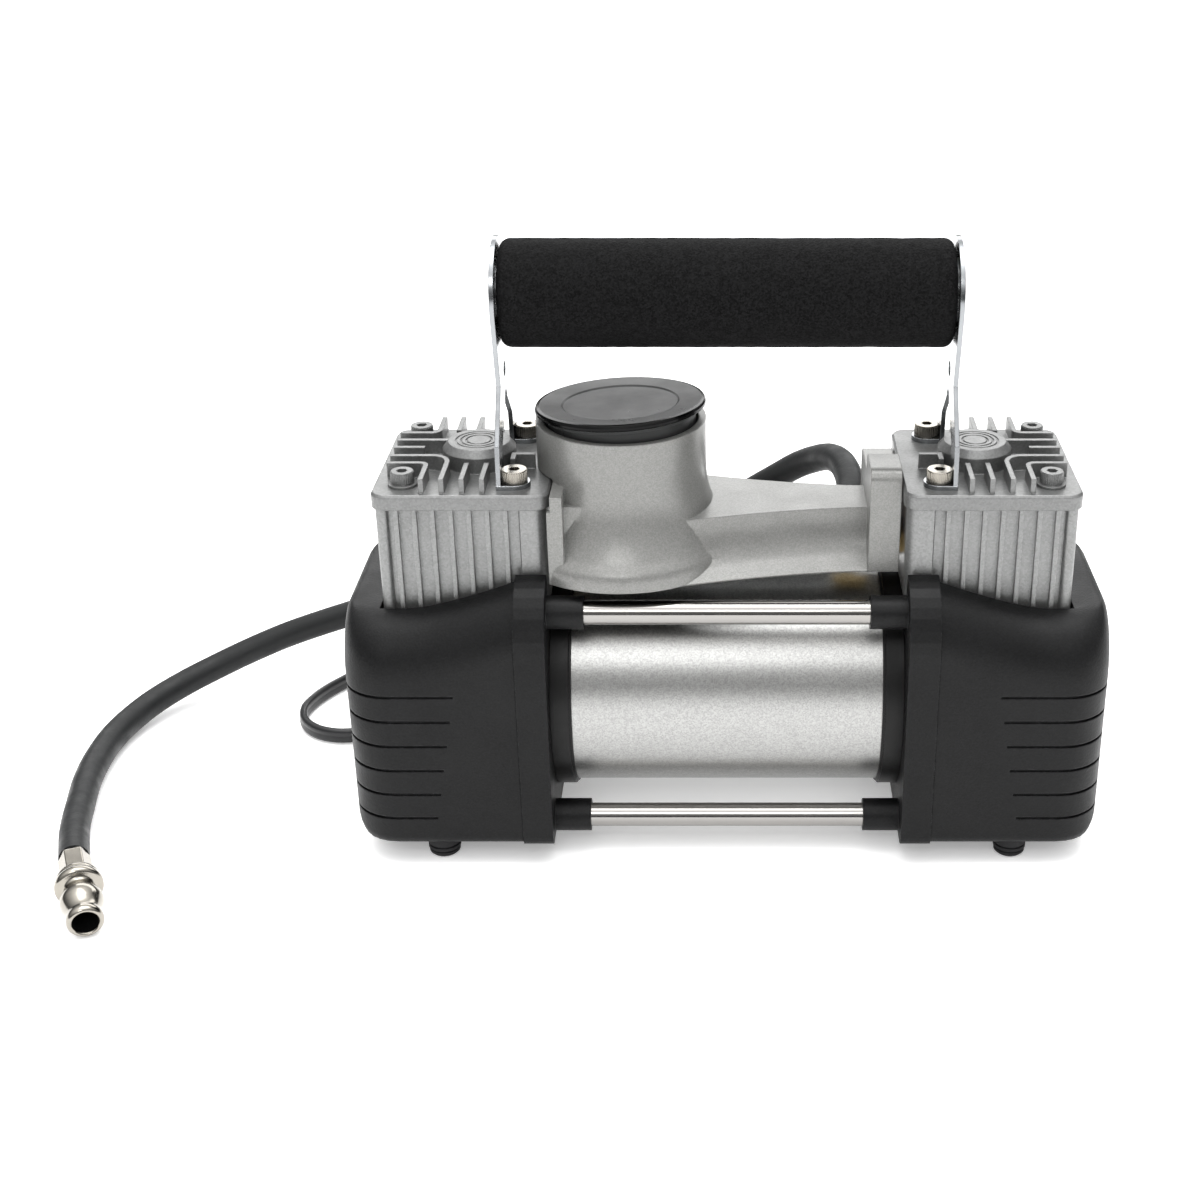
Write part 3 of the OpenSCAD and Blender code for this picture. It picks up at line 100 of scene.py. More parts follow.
def add_soft_box(name, place, size, power):
    light_data = bpy.data.lights.new(name, "AREA")
    light_data.shape = "RECTANGLE"
    light_data.size, light_data.size_y = size
    light_data.energy = power
    light = bpy.data.objects.new(name, light_data)
    light.location = place
    light.rotation_euler = (Vector(MIDDLE) - Vector(place)).to_track_quat("-Z", "Y").to_euler()
    scene.collection.objects.link(light)


def build_sky():
    """A world whose brightness follows SKY: pairs of (1 + direction's z) / 2 and level."""
    world = bpy.data.worlds.new("studio")
    world.use_nodes = True
    tree = world.node_tree
    direction = tree.nodes.new("ShaderNodeTexCoord").outputs["Generated"]
    height = tree.nodes.new("ShaderNodeSeparateXYZ")
    tree.links.new(direction, height.inputs[0])
    half = tree.nodes.new("ShaderNodeMath")
    half.operation = "MULTIPLY_ADD"
    half.inputs[1].default_value = 0.5
    half.inputs[2].default_value = 0.5
    tree.links.new(height.outputs["Z"], half.inputs[0])
    ramp = tree.nodes.new("ShaderNodeValToRGB")
    stops = ramp.color_ramp.elements
    while len(stops) < len(SKY):
        stops.new(0.5)
    for stop, (place, level) in zip(stops, SKY):
        stop.position = place
        stop.color = (level, level, level, 1.0)
    tree.links.new(half.outputs[0], ramp.inputs[0])
    tree.links.new(ramp.outputs["Color"], tree.nodes["Background"].inputs["Color"])
    return world


add_table()
add_soft_box("soft_box_top", (0.0, 0.2, 1.6), (1.5, 1.0), 13.0)
add_soft_box("soft_box_front", (-0.15, -1.5, 1.35), (0.7, 0.5), 6.0)
add_soft_box("soft_box_back", (0.0, 2.3, 1.15), (3.0, 0.9), 26.0)
scene.world = build_sky()
scene.view_settings.view_transform = "Standard"


# Motor: a ground shaft turns on two ball bearings and carries a laminated core wound with
# lacquered copper, and its commutator. All finishes are built from the shader groups below.
def new_group(name, inputs, outputs):
    """A shader node group with its sockets, and its input and output nodes."""
    tree = bpy.data.node_groups.new(name, "ShaderNodeTree")
    for label, kind, value in inputs:
        socket = tree.interface.new_socket(label, in_out="INPUT", socket_type=kind)
        socket.default_value = value
    for label, kind in outputs:
        tree.interface.new_socket(label, in_out="OUTPUT", socket_type=kind)
    return tree, tree.nodes.new("NodeGroupInput"), tree.nodes.new("NodeGroupOutput")


def add_node(tree, kind, settings=(), **inputs):
    """A node with its settings made and its inputs set, or linked where an output is given."""
    node = tree.nodes.new(kind)
    for key, value in dict(settings).items():
        setattr(node, key, value)
    for key, value in inputs.items():
        socket = node.inputs[int(key[1:])] if key[1:].isdigit() else node.inputs[
            key.replace("_", " ")]
        if isinstance(value, bpy.types.NodeSocket):
            tree.links.new(value, socket)
        else:
            socket.default_value = value
    return node


def build_mottle():
    """Soft patches that lighten and darken a colour by Amount."""
    tree, given, result = new_group("mottle", [
        ("Vector", "NodeSocketVector", (0, 0, 0)),
        ("Colour", "NodeSocketColor", (0.5, 0.5, 0.5, 1)),
        ("Amount", "NodeSocketFloat", 0.1),
        ("Scale", "NodeSocketFloat", 60.0),
    ], [("Colour", "NodeSocketColor"), ("Value", "NodeSocketFloat")])
    patches = add_node(tree, "ShaderNodeTexNoise", Vector=given.outputs["Vector"],
        Scale=given.outputs["Scale"], Detail=6.0, Roughness=0.6)
    low = add_node(tree, "ShaderNodeMath", {"operation": "MULTIPLY_ADD"},
        _0=given.outputs["Amount"], _1=-0.5, _2=1.0)
    level = add_node(tree, "ShaderNodeMath", {"operation": "MULTIPLY_ADD"},
        _0=patches.outputs["Fac"], _1=given.outputs["Amount"], _2=low.outputs[0])
    scaled = add_node(tree, "ShaderNodeVectorMath", {"operation": "SCALE"},
        _0=given.outputs["Colour"], Scale=level.outputs[0])
    tree.links.new(scaled.outputs[0], result.inputs["Colour"])
    tree.links.new(patches.outputs["Fac"], result.inputs["Value"])
    return tree


def build_relief():
    """Fine noise as a bump of the given depth in metres."""
    tree, given, result = new_group("fine_relief", [
        ("Vector", "NodeSocketVector", (0, 0, 0)),
        ("Scale", "NodeSocketFloat", 1500.0),
        ("Depth", "NodeSocketFloat", 0.00002),
        ("Normal", "NodeSocketVector", (0, 0, 0)),
    ], [("Normal", "NodeSocketVector")])
    fine = add_node(tree, "ShaderNodeTexNoise", Vector=given.outputs["Vector"],
        Scale=given.outputs["Scale"], Detail=3.0, Roughness=0.55)
    bump = add_node(tree, "ShaderNodeBump", Strength=1.0, Distance=given.outputs["Depth"],
        Height=fine.outputs["Fac"], Normal=given.outputs["Normal"])
    tree.links.new(bump.outputs["Normal"], result.inputs["Normal"])
    return tree


def build_edges():
    """Rounds sharp edges over Radius, and gives a ragged mask of where they are rubbed."""
    tree, given, result = new_group("rubbed_edges", [
        ("Vector", "NodeSocketVector", (0, 0, 0)),
        ("Radius", "NodeSocketFloat", 0.0004),
    ], [("Normal", "NodeSocketVector"), ("Mask", "NodeSocketFloat")])
    rounded = add_node(tree, "ShaderNodeBevel", {"samples": 6}, Radius=given.outputs["Radius"])
    shape = tree.nodes.new("ShaderNodeNewGeometry")
    agree = add_node(tree, "ShaderNodeVectorMath", {"operation": "DOT_PRODUCT"},
        _0=rounded.outputs["Normal"], _1=shape.outputs["Normal"])
    ragged = add_node(tree, "ShaderNodeTexNoise", Vector=given.outputs["Vector"], Scale=420.0,
        Detail=5.0, Roughness=0.7)
    bend = add_node(tree, "ShaderNodeMapRange", Value=agree.outputs["Value"],
        From_Min=1.0, From_Max=0.86, To_Min=0.0, To_Max=1.0)
    broken = add_node(tree, "ShaderNodeMapRange", Value=ragged.outputs["Fac"],
        From_Min=0.45, From_Max=0.65, To_Min=0.0, To_Max=1.0)
    mask = add_node(tree, "ShaderNodeMath", {"operation": "MULTIPLY", "use_clamp": True},
        _0=bend.outputs[0], _1=broken.outputs[0])
    tree.links.new(rounded.outputs["Normal"], result.inputs["Normal"])
    tree.links.new(mask.outputs[0], result.inputs["Mask"])
    return tree


MOTTLE = build_mottle()
RELIEF = build_relief()
EDGES = build_edges()


def new_finish(name, colour, roughness, metallic=0.0, mottle=(0.12, 60.0),
        relief=(1500.0, 0.00002), rough_spread=0.08, edge=0.0, bare=None, bare_rough=0.4,
        specular=0.5):
    """A finish whose colour, gloss and relief vary; bare is the colour of its rubbed edges."""
    material = bpy.data.materials.new(name)
    material.use_nodes = True
    tree = material.node_tree
    shader = tree.nodes["Principled BSDF"]
    place = tree.nodes.new("ShaderNodeTexCoord").outputs["Object"]
    patches = add_node(tree, "ShaderNodeGroup", {"node_tree": MOTTLE}, Vector=place,
        Colour=(*colour, 1.0), Amount=mottle[0], Scale=mottle[1])
    gloss = add_node(tree, "ShaderNodeMapRange", Value=patches.outputs["Value"],
        From_Min=0.3, From_Max=0.7, To_Min=roughness - rough_spread,
        To_Max=roughness + rough_spread)
    grain = add_node(tree, "ShaderNodeGroup", {"node_tree": RELIEF}, Vector=place,
        Scale=relief[0], Depth=relief[1])
    shader.inputs["Metallic"].default_value = metallic
    shader.inputs["Specular IOR Level"].default_value = specular
    paint = patches.outputs["Colour"]
    dull = gloss.outputs[0]
    if edge:
        edges = add_node(tree, "ShaderNodeGroup", {"node_tree": EDGES}, Vector=place, Radius=edge)
        tree.links.new(edges.outputs["Normal"], grain.inputs["Normal"])
        if bare:
            worn = add_node(tree, "ShaderNodeMix", {"data_type": "RGBA"},
                _0=edges.outputs["Mask"], _6=paint, _7=(*bare, 1.0))
            shine = add_node(tree, "ShaderNodeMix", {"data_type": "FLOAT"},
                _0=edges.outputs["Mask"], _2=dull, _3=bare_rough)
            paint, dull = worn.outputs[2], shine.outputs[0]
    else:
        shape = tree.nodes.new("ShaderNodeNewGeometry")
        tree.links.new(shape.outputs["Normal"], grain.inputs["Normal"])
    tree.links.new(paint, shader.inputs["Base Color"])
    tree.links.new(dull, shader.inputs["Roughness"])
    tree.links.new(grain.outputs["Normal"], shader.inputs["Normal"])
    return material


def dress(material, *names):
    """Gives CAD pieces their finish."""
    for name in names:
        piece = nodes[name]
        if not piece.material_slots:
            piece.data.materials.append(None)
        for holder in piece.material_slots:
            holder.material = material


ground_steel = new_finish("ground_steel", (0.56, 0.57, 0.58), 0.28, 1.0, (0.1, 200.0),
    (900.0, 0.000006))
dress(ground_steel, "motor_shaft", "shaft_bearings", "crank_discs")
dress(new_finish("laminated_iron", (0.16, 0.16, 0.17), 0.45, 0.9), "armature_core")
dress(new_finish("lacquered_copper", (0.62, 0.26, 0.12), 0.3, 1.0, (0.2, 400.0)),
    "armature_windings", "commutator")

# Round the core lie two ferrite magnets, glued in the can, and a phenolic plate that holds two
# carbon brushes on their springs.
dress(new_finish("ferrite", (0.035, 0.035, 0.038), 0.6, mottle=(0.2, 200.0)), "field_magnets")
dress(new_finish("phenolic_board", (0.17, 0.08, 0.03), 0.5), "brush_plate")
dress(new_finish("carbon_block", (0.02, 0.02, 0.02), 0.6), "carbon_brushes")
dress(new_finish("spring_wire", (0.42, 0.42, 0.40), 0.3, 1.0), "brush_springs")

# The can is rolled steel in coarse silver sparkle paint: flakes that each catch the light at
# their own brightness. Black enamelled end bells close it.
def build_flakes():
    """Small cells that each lighten or darken a colour by up to half of Amount."""
    tree, given, result = new_group("paint_flakes", [
        ("Vector", "NodeSocketVector", (0, 0, 0)),
        ("Colour", "NodeSocketColor", (0.5, 0.5, 0.5, 1)),
        ("Amount", "NodeSocketFloat", 0.3),
        ("Scale", "NodeSocketFloat", 2500.0),
    ], [("Colour", "NodeSocketColor")])
    cells = add_node(tree, "ShaderNodeTexVoronoi", Vector=given.outputs["Vector"],
        Scale=given.outputs["Scale"])
    chance = add_node(tree, "ShaderNodeSeparateColor", Color=cells.outputs["Color"])
    low = add_node(tree, "ShaderNodeMath", {"operation": "MULTIPLY_ADD"},
        _0=given.outputs["Amount"], _1=-0.5, _2=1.0)
    level = add_node(tree, "ShaderNodeMath", {"operation": "MULTIPLY_ADD"},
        _0=chance.outputs[0], _1=given.outputs["Amount"], _2=low.outputs[0])
    scaled = add_node(tree, "ShaderNodeVectorMath", {"operation": "SCALE"},
        _0=given.outputs["Colour"], Scale=level.outputs[0])
    tree.links.new(scaled.outputs[0], result.inputs["Colour"])
    return tree


FLAKES = build_flakes()


def lay_flakes(material, amount, scale):
    """Puts flakes between a finish's colour and its shader."""
    tree = material.node_tree
    shader = tree.nodes["Principled BSDF"]
    paint = shader.inputs["Base Color"].links[0].from_socket
    place = tree.nodes.new("ShaderNodeTexCoord").outputs["Object"]
    flakes = add_node(tree, "ShaderNodeGroup", {"node_tree": FLAKES}, Vector=place,
        Colour=paint, Amount=amount, Scale=scale)
    tree.links.new(flakes.outputs["Colour"], shader.inputs["Base Color"])
    return material


sparkle_paint = lay_flakes(new_finish("sparkle_paint", (0.37, 0.37, 0.362), 0.35, 0.96,
    (0.05, 300.0), (1500.0, 0.00003), rough_spread=0.02), 0.34, 2600.0)
dress(sparkle_paint, "motor_can")
dress(new_finish("bell_enamel", (0.006, 0.006, 0.006), 0.42, 0.0, (0.3, 80.0),
    (900.0, 0.00003), edge=0.0005, specular=0.22), "end_bells")

# Each end has a die-cast crankcase. A one-piece rod with a sealing cup runs on the crank pin,
# its piston in a steel sleeve.
raw_casting = new_finish("raw_casting", (0.50, 0.51, 0.52), 0.48, 1.0, (0.15, 90.0),
    (700.0, 0.00005), edge=0.0004)
dress(raw_casting, "crankcases", "connecting_rod_left", "connecting_rod_right")
dress(new_finish("filled_ptfe", (0.05, 0.045, 0.04), 0.4), "piston_cup_left", "piston_cup_right")
dress(ground_steel, "cylinder_sleeves", "big_end_bearing_left", "big_end_bearing_right",
    "crank_pin_left", "crank_pin_right")

# End casings and their inner plates: black ABS with a spark-eroded texture, paler where hands
# and the table have rubbed the corners. Screws in recesses hold the shells.
SHELL_SHARP_DEGREES = 32
MERGE_WITHIN = 0.00001


def smooth_copy(name, node, sharp_degrees):
    """A CAD node's mesh, merged and shaded smooth, that stands for the node."""
    mesh = nodes[node].data.copy()
    mesh.name = name
    merged = bmesh.new()
    merged.from_mesh(mesh)
    bmesh.ops.remove_doubles(merged, verts=merged.verts, dist=MERGE_WITHIN)
    merged.to_mesh(mesh)
    merged.free()
    for layer in ("custom_normal", "sharp_edge", "sharp_face"):
        if layer in mesh.attributes:
            mesh.attributes.remove(mesh.attributes[layer])
    mesh.materials.clear()
    mesh.set_sharp_from_angle(angle=math.radians(sharp_degrees))
    piece = bpy.data.objects.new(name, mesh)
    scene.collection.objects.link(piece)
    weighted = piece.modifiers.new("even_shading", "WEIGHTED_NORMAL")
    weighted.keep_sharp = True
    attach(piece, "machine")
    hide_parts(node)
    return piece


textured_abs = lay_flakes(new_finish("textured_abs", (0.0042, 0.0043, 0.0046), 0.46, 0.0,
    (0.3, 45.0), (1500.0, 0.00010), edge=0.0006, bare=(0.024, 0.025, 0.027), bare_rough=0.40,
    specular=0.19), 0.7, 2200.0)
for side in ("left", "right"):
    shell = smooth_copy("moulded_shell_" + side, "casing_shell_" + side,
        SHELL_SHARP_DEGREES)
    shell.data.materials.append(textured_abs)
dress(textured_abs, "casing_plate_left", "casing_plate_right")

# Four plated steel rods pull the plates together over the motor, each with a screw in both
# ends. Ribbed rubber feet are pressed into the shells.
dress(new_finish("chromed_rod", (0.31, 0.30, 0.288), 0.14, 1.0, (0.08, 60.0),
    (500.0, 0.000004), rough_spread=0.05), "tie_rods")
zinc_screw = new_finish("zinc_screw", (0.42, 0.43, 0.45), 0.32, 1.0, (0.15, 300.0), edge=0.0002)
dress(zinc_screw, "tie_rod_screws", "casing_screws")
moulded_rubber = new_finish("moulded_rubber", (0.009, 0.009, 0.010), 0.6, 0.0, (0.3, 120.0),
    (1000.0, 0.00004), edge=0.0004, specular=0.3)
dress(moulded_rubber, "rubber_feet")

# Cylinder blocks and heads: die-cast aluminium, sprayed silver, with thin paint on the edges of
# the ribs. The heads' copy of the spray is darker than the blocks' as painted shade, not as
# another paint. Valve plate, reeds and gasket are clamped between them.
GREENISH = 1.01
BARE_TO_PAINTED = 1.6
# One spray in two copies: the darker level given to the heads is painted shade.
for part, level in (("block", 0.235), ("head", 0.19)):
    silver_spray = lay_flakes(new_finish("silver_spray_painted_shade_" + part,
        (level, level * GREENISH, level), 0.38, 0.65, (0.16, 70.0), (900.0, 0.00007),
        rough_spread=0.08, edge=0.0005, bare=(level * BARE_TO_PAINTED,) * 3, bare_rough=0.3),
        0.22, 1700.0)
    dress(silver_spray, f"cylinder_{part}_left", f"cylinder_{part}_right")
dress(silver_spray, "outer_head_screws")
dress(ground_steel, "valve_plates", "reed_valves")
dress(new_finish("pressed_fibre", (0.035, 0.035, 0.037), 0.8, mottle=(0.3, 300.0)),
    "head_gaskets")

# A drawn aluminium pipe joins the two blocks, held by brass nuts. A brass tee on it feeds the
# hose through its barb.
dress(new_finish("drawn_aluminium", (0.62, 0.63, 0.64), 0.3, 1.0, (0.1, 120.0)), "manifold_pipe")
dress(new_finish("turned_brass", (0.55, 0.39, 0.15), 0.28, 1.0, (0.12, 200.0)), "manifold_nuts",
    "outlet_tee")

# Manifold cover: injection-moulded ABS with silver flake through it, semi-gloss, clipped over
# the pipe between the blocks.
COVER_SHARP_DEGREES = 30
flake_abs = lay_flakes(new_finish("flake_abs", (0.225, 0.225, 0.216), 0.33, 0.30, (0.10, 90.0),
    (1500.0, 0.00002), rough_spread=0.05, edge=0.0006), 0.30, 3000.0)
cover = smooth_copy("flake_cover", "manifold_cover", COVER_SHARP_DEGREES)
cover.data.materials.append(flake_abs)

# A black cap plugs the round port where other models of such a machine have a gauge. Its top is
# satin, and its double lip is polished.
CAP_X = -0.0345
CAP_TOP_RADIUS = 0.0262
CAP_LIP_BLEND = 0.0003
CAP_LIP_COLOUR = (0.002, 0.002, 0.002, 1.0)
CAP_LIP_ROUGHNESS = 0.12


def build_cap_plastic():
    """Satin within the top's radius of the cap's axis, and polished black outside it."""
    material = new_finish("cap_plastic", (0.042, 0.043, 0.043), 0.33, 0.0, (0.25, 70.0),
        (1800.0, 0.00002), edge=0.0003, specular=0.13)
    tree = material.node_tree
    shader = tree.nodes["Principled BSDF"]
    place = tree.nodes.new("ShaderNodeTexCoord").outputs["Object"]
    centred = add_node(tree, "ShaderNodeMapping", Vector=place, Location=(-CAP_X, 0.0, 0.0))
    flat = add_node(tree, "ShaderNodeVectorMath", {"operation": "MULTIPLY"},
        _0=centred.outputs[0], _1=(1.0, 1.0, 0.0))
    radius = add_node(tree, "ShaderNodeVectorMath", {"operation": "LENGTH"}, _0=flat.outputs[0])
    lip = add_node(tree, "ShaderNodeMapRange", Value=radius.outputs["Value"],
        From_Min=CAP_TOP_RADIUS, From_Max=CAP_TOP_RADIUS + CAP_LIP_BLEND, To_Min=0.0, To_Max=1.0)
    paint = add_node(tree, "ShaderNodeMix", {"data_type": "RGBA"}, _0=lip.outputs[0],
        _6=shader.inputs["Base Color"].links[0].from_socket, _7=CAP_LIP_COLOUR)
    gloss = add_node(tree, "ShaderNodeMix", {"data_type": "FLOAT"}, _0=lip.outputs[0],
        _2=shader.inputs["Roughness"].links[0].from_socket, _3=CAP_LIP_ROUGHNESS)
    tree.links.new(paint.outputs[2], shader.inputs["Base Color"])
    tree.links.new(gloss.outputs[0], shader.inputs["Roughness"])
    return material


dress(build_cap_plastic(), "gauge_port_cap")

# The rocker switch snaps into the rear of the tower. Its rocker is glossy red polycarbonate in
# a black moulded frame.
moulded_black = new_finish("moulded_black", (0.012, 0.012, 0.013), 0.4, 0.0, (0.2, 80.0),
    edge=0.0003, specular=0.35)
dress(moulded_black, "switch_housing")
dress(new_finish("red_rocker", (0.42, 0.012, 0.008), 0.2, 0.0, (0.08, 60.0), edge=0.0004),
    "switch_rocker")

# Handle: two bright zinc-plated steel brackets under nickel-plated socket screws, with a steel
# tube screwed between them.
bright_nickel = new_finish("bright_nickel", (0.32, 0.30, 0.265), 0.19, 1.0, (0.15, 250.0),
    (700.0, 0.000008), edge=0.0002)
dress(new_finish("blue_zinc", (0.30, 0.31, 0.32), 0.20, 1.0, (0.4, 160.0),
    (500.0, 0.00001), edge=0.0004), "handle_bracket_left", "handle_bracket_right")
dress(bright_nickel, "inner_head_screws")
dress(zinc_screw, "handle_screws")
dress(ground_steel, "handle_tube")

# The heads of the screws that hold the cylinder heads are rolled with straight knurls, which
# grip a finger while the screw is started. Each is a low rib on the head's side.
KNURLS = 34
KNURL_SIDES = 8
KNURL_RADIUS = 0.00024
KNURL_HEIGHT = 0.0034
SCREW_HEAD_HEIGHT = 0.004
NICKEL_HEAD_RADIUS = 0.0039
SILVER_HEAD_RADIUS = 0.0035
SILVER_WASHER_EDGE = 0.0012


def build_knurls():
    """Puts a ring of upright ribs round every vertex of the mesh that it is given."""
    tree = bpy.data.node_groups.new("rolled_knurls", "GeometryNodeTree")
    for label, kind in (("Geometry", "NodeSocketGeometry"), ("Ribs", "NodeSocketInt"),
            ("Head Radius", "NodeSocketFloat"), ("Rib Radius", "NodeSocketFloat"),
            ("Rib Height", "NodeSocketFloat"), ("Finish", "NodeSocketMaterial")):
        tree.interface.new_socket(label, in_out="INPUT", socket_type=kind)
    tree.interface.new_socket("Geometry", in_out="OUTPUT", socket_type="NodeSocketGeometry")
    given = tree.nodes.new("NodeGroupInput").outputs
    circle = add_node(tree, "GeometryNodeMeshCircle", Vertices=given["Ribs"],
        Radius=given["Head Radius"])
    rib = add_node(tree, "GeometryNodeMeshCylinder", Vertices=KNURL_SIDES,
        Radius=given["Rib Radius"], Depth=given["Rib Height"])
    ring = add_node(tree, "GeometryNodeInstanceOnPoints", Points=circle.outputs["Mesh"],
        Instance=rib.outputs["Mesh"])
    rings = add_node(tree, "GeometryNodeInstanceOnPoints", Points=given["Geometry"],
        Instance=ring.outputs["Instances"])
    real = add_node(tree, "GeometryNodeRealizeInstances", Geometry=rings.outputs["Instances"])
    finished = add_node(tree, "GeometryNodeSetMaterial", Geometry=real.outputs["Geometry"],
        Material=given["Finish"])
    result = tree.nodes.new("NodeGroupOutput")
    tree.links.new(finished.outputs["Geometry"], result.inputs["Geometry"])
    return tree


KNURL_TREE = build_knurls()


def add_knurls(name, node, head_radius, rim, finish):
    """Knurls for the four screws of a node, whose heads stand rim inside the node's box."""
    low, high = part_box(node)
    inset = head_radius + rim
    middle = high[2] - SCREW_HEAD_HEIGHT / 2
    mesh = bpy.data.meshes.new(name + "_places")
    mesh.from_pydata([(x, y, middle) for x in (low[0] + inset, high[0] - inset)
        for y in (low[1] + inset, high[1] - inset)], [], [])
    places = bpy.data.objects.new(name + "_places", mesh)
    scene.collection.objects.link(places)
    maker = places.modifiers.new("knurls", "NODES")
    maker.node_group = KNURL_TREE
    values = {"Ribs": KNURLS, "Head Radius": head_radius, "Rib Radius": KNURL_RADIUS,
        "Rib Height": KNURL_HEIGHT, "Finish": finish}
    for item in KNURL_TREE.interface.items_tree:
        if item.in_out == "INPUT" and item.name in values:
            maker[item.identifier] = values[item.name]
    made = places.evaluated_get(bpy.context.evaluated_depsgraph_get())
    piece = bpy.data.objects.new(name, bpy.data.meshes.new_from_object(made))
    scene.collection.objects.link(piece)
    bpy.data.objects.remove(places)
    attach(piece, "machine")


add_knurls("nickel_screw_knurls", "inner_head_screws", NICKEL_HEAD_RADIUS, 0.0, bright_nickel)
add_knurls("silver_screw_knurls", "outer_head_screws", SILVER_HEAD_RADIUS, SILVER_WASHER_EDGE,
    silver_spray)

# The grip is a sleeve of black closed-cell foam, pushed over the tube. Its skin is pitted, and
# its cut ends are a little crushed.
GRIP_END_ROUND = 0.0032
GRIP_END_STEPS = 6
GRIP_BORE_SLACK = 0.0001
GRIP_BORE_CHAMFER = 0.0008
GRIP_SKIN_OVER_BORE = 0.001
GRIP_SIDES = 112
GRIP_RINGS = 72
GRIP_PITS = 0.00016
GRIP_PIT_SCALE = 260


def add_foam_grip():
    """The sleeve's outline turned round the tube's axis, with its skin pushed in by noise."""
    low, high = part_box("foam_grip")
    x0, x1 = low[0], high[0]
    centre_z = (low[2] + high[2]) / 2
    radius = (high[2] - low[2]) / 2
    bore = (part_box("handle_tube")[1][2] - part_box("handle_tube")[0][2]) / 2
    bore += GRIP_BORE_SLACK
    end = [(x0 + GRIP_BORE_CHAMFER, bore), (x0, (bore + radius) / 2),
        (x0, radius - GRIP_END_ROUND)]
    for i in range(1, GRIP_END_STEPS + 1):
        a = math.radians(90 * i / GRIP_END_STEPS)
        end.append((x0 + GRIP_END_ROUND * (1 - math.cos(a)),
            radius - GRIP_END_ROUND * (1 - math.sin(a))))
    straight = x1 - x0 - 2 * GRIP_END_ROUND
    outline = end + [(x0 + GRIP_END_ROUND + straight * i / GRIP_RINGS, radius)
        for i in range(1, GRIP_RINGS)] + [(x0 + x1 - x, r) for x, r in reversed(end)]
    mesh = bpy.data.meshes.new("foam_sleeve")
    made = bmesh.new()
    skin = bore + GRIP_SKIN_OVER_BORE
    rings = []
    for x, r in outline:
        ring = []
        for k in range(GRIP_SIDES):
            a = 2 * math.pi * k / GRIP_SIDES
            spot = Vector((x, r * math.cos(a), r * math.sin(a)))
            pit = GRIP_PITS * (1 + noise.noise(spot * GRIP_PIT_SCALE)) if r > skin else 0
            ring.append(made.verts.new((x, (r - pit) * math.cos(a),
                centre_z + (r - pit) * math.sin(a))))
        rings.append(ring)
    for a, b in zip(rings, rings[1:] + rings[:1]):
        for k in range(GRIP_SIDES):
            made.faces.new((a[k], b[k], b[(k + 1) % GRIP_SIDES], a[(k + 1) % GRIP_SIDES]))
    bmesh.ops.recalc_face_normals(made, faces=made.faces)
    made.to_mesh(mesh)
    made.free()
    for face in mesh.polygons:
        face.use_smooth = True
    piece = bpy.data.objects.new("foam_sleeve", mesh)
    scene.collection.objects.link(piece)
    return piece


grip = add_foam_grip()
grip.data.materials.append(lay_flakes(new_finish("closed_cell_foam", (0.0050, 0.0050, 0.0052),
    0.88, 0.0, (0.8, 500.0), (1300.0, 0.00035), specular=0.12), 1.8, 2200.0))
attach(grip, "machine")
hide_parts("foam_grip")

# The air hose is a 10 mm rubber hose, pushed on the barb of the outlet tee behind the cover. It
# goes over the left casing's rear, down to the table and round to the front.
HOSE_D = 0.010
HOSE_ROUNDNESS = 8
HOSE_ROUTE_MM = [
    (42, 22, 100.2), (43.5, 34, 103.3), (43, 44, 105.5), (41, 52.5, 106.5), (37.5, 60.5, 105.5),
    (33, 68, 102), (26.5, 74.5, 97), (18.5, 80, 90), (8.5, 84.5, 82), (-4, 87, 73),
    (-18, 88, 65.5), (-34, 88, 60.5), (-52, 88, 56), (-71, 87, 52), (-90, 86, 48),
    (-108, 85, 43), (-125, 84, 38), (-142, 83, 33), (-158, 82, 28), (-173, 80.5, 23),
    (-187, 77, 18), (-199.5, 72, 13.5), (-210.5, 65, 10), (-219.5, 55.5, 7.5), (-225.5, 44, 6),
    (-229, 31, 5.3), (-230, 16, 5.1), (-229, 0, 5.1), (-226, -17, 5.4), (-222, -35, 6.6),
    (-215, -56, 9.0),
]


def smooth_route(points, steps=8):
    """Points on a smooth curve through the given ones, steps to each span."""
    out = []
    last = len(points) - 1
    for i in range(last):
        a, b = points[max(i - 1, 0)], points[i]
        c, d = points[i + 1], points[min(i + 2, last)]
        for k in range(steps):
            t = k / steps
            out.append(0.5 * ((2 * b) + (c - a) * t + (2 * a - 5 * b + 4 * c - d) * t * t
                + (3 * b - a - 3 * c + d) * t ** 3))
    return out + [points[-1]]


def add_round_cord(name, points, diameter, roundness):
    """A round tube along the points, as a curve of one open spline."""
    data = bpy.data.curves.new(name, "CURVE")
    data.dimensions = "3D"
    data.bevel_depth = diameter / 2
    data.bevel_resolution = roundness
    data.use_fill_caps = True
    spline = data.splines.new("POLY")
    spline.points.add(len(points) - 1)
    for p, q in zip(spline.points, points):
        p.co = (*q, 1.0)
    spline.use_smooth = True
    curve = bpy.data.objects.new(name, data)
    scene.collection.objects.link(curve)
    return curve


hose_route = smooth_route([Vector(p) / 1000 for p in HOSE_ROUTE_MM])
hose = add_round_cord("rubber_hose", hose_route, HOSE_D, HOSE_ROUNDNESS)
hose.data.materials.append(new_finish("hose_rubber", (0.009, 0.0098, 0.0102), 0.5,
    mottle=(0.7, 160.0), relief=(900.0, 0.00005), rough_spread=0.12, specular=0.28))
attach(hose, "machine")
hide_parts("air_hose")

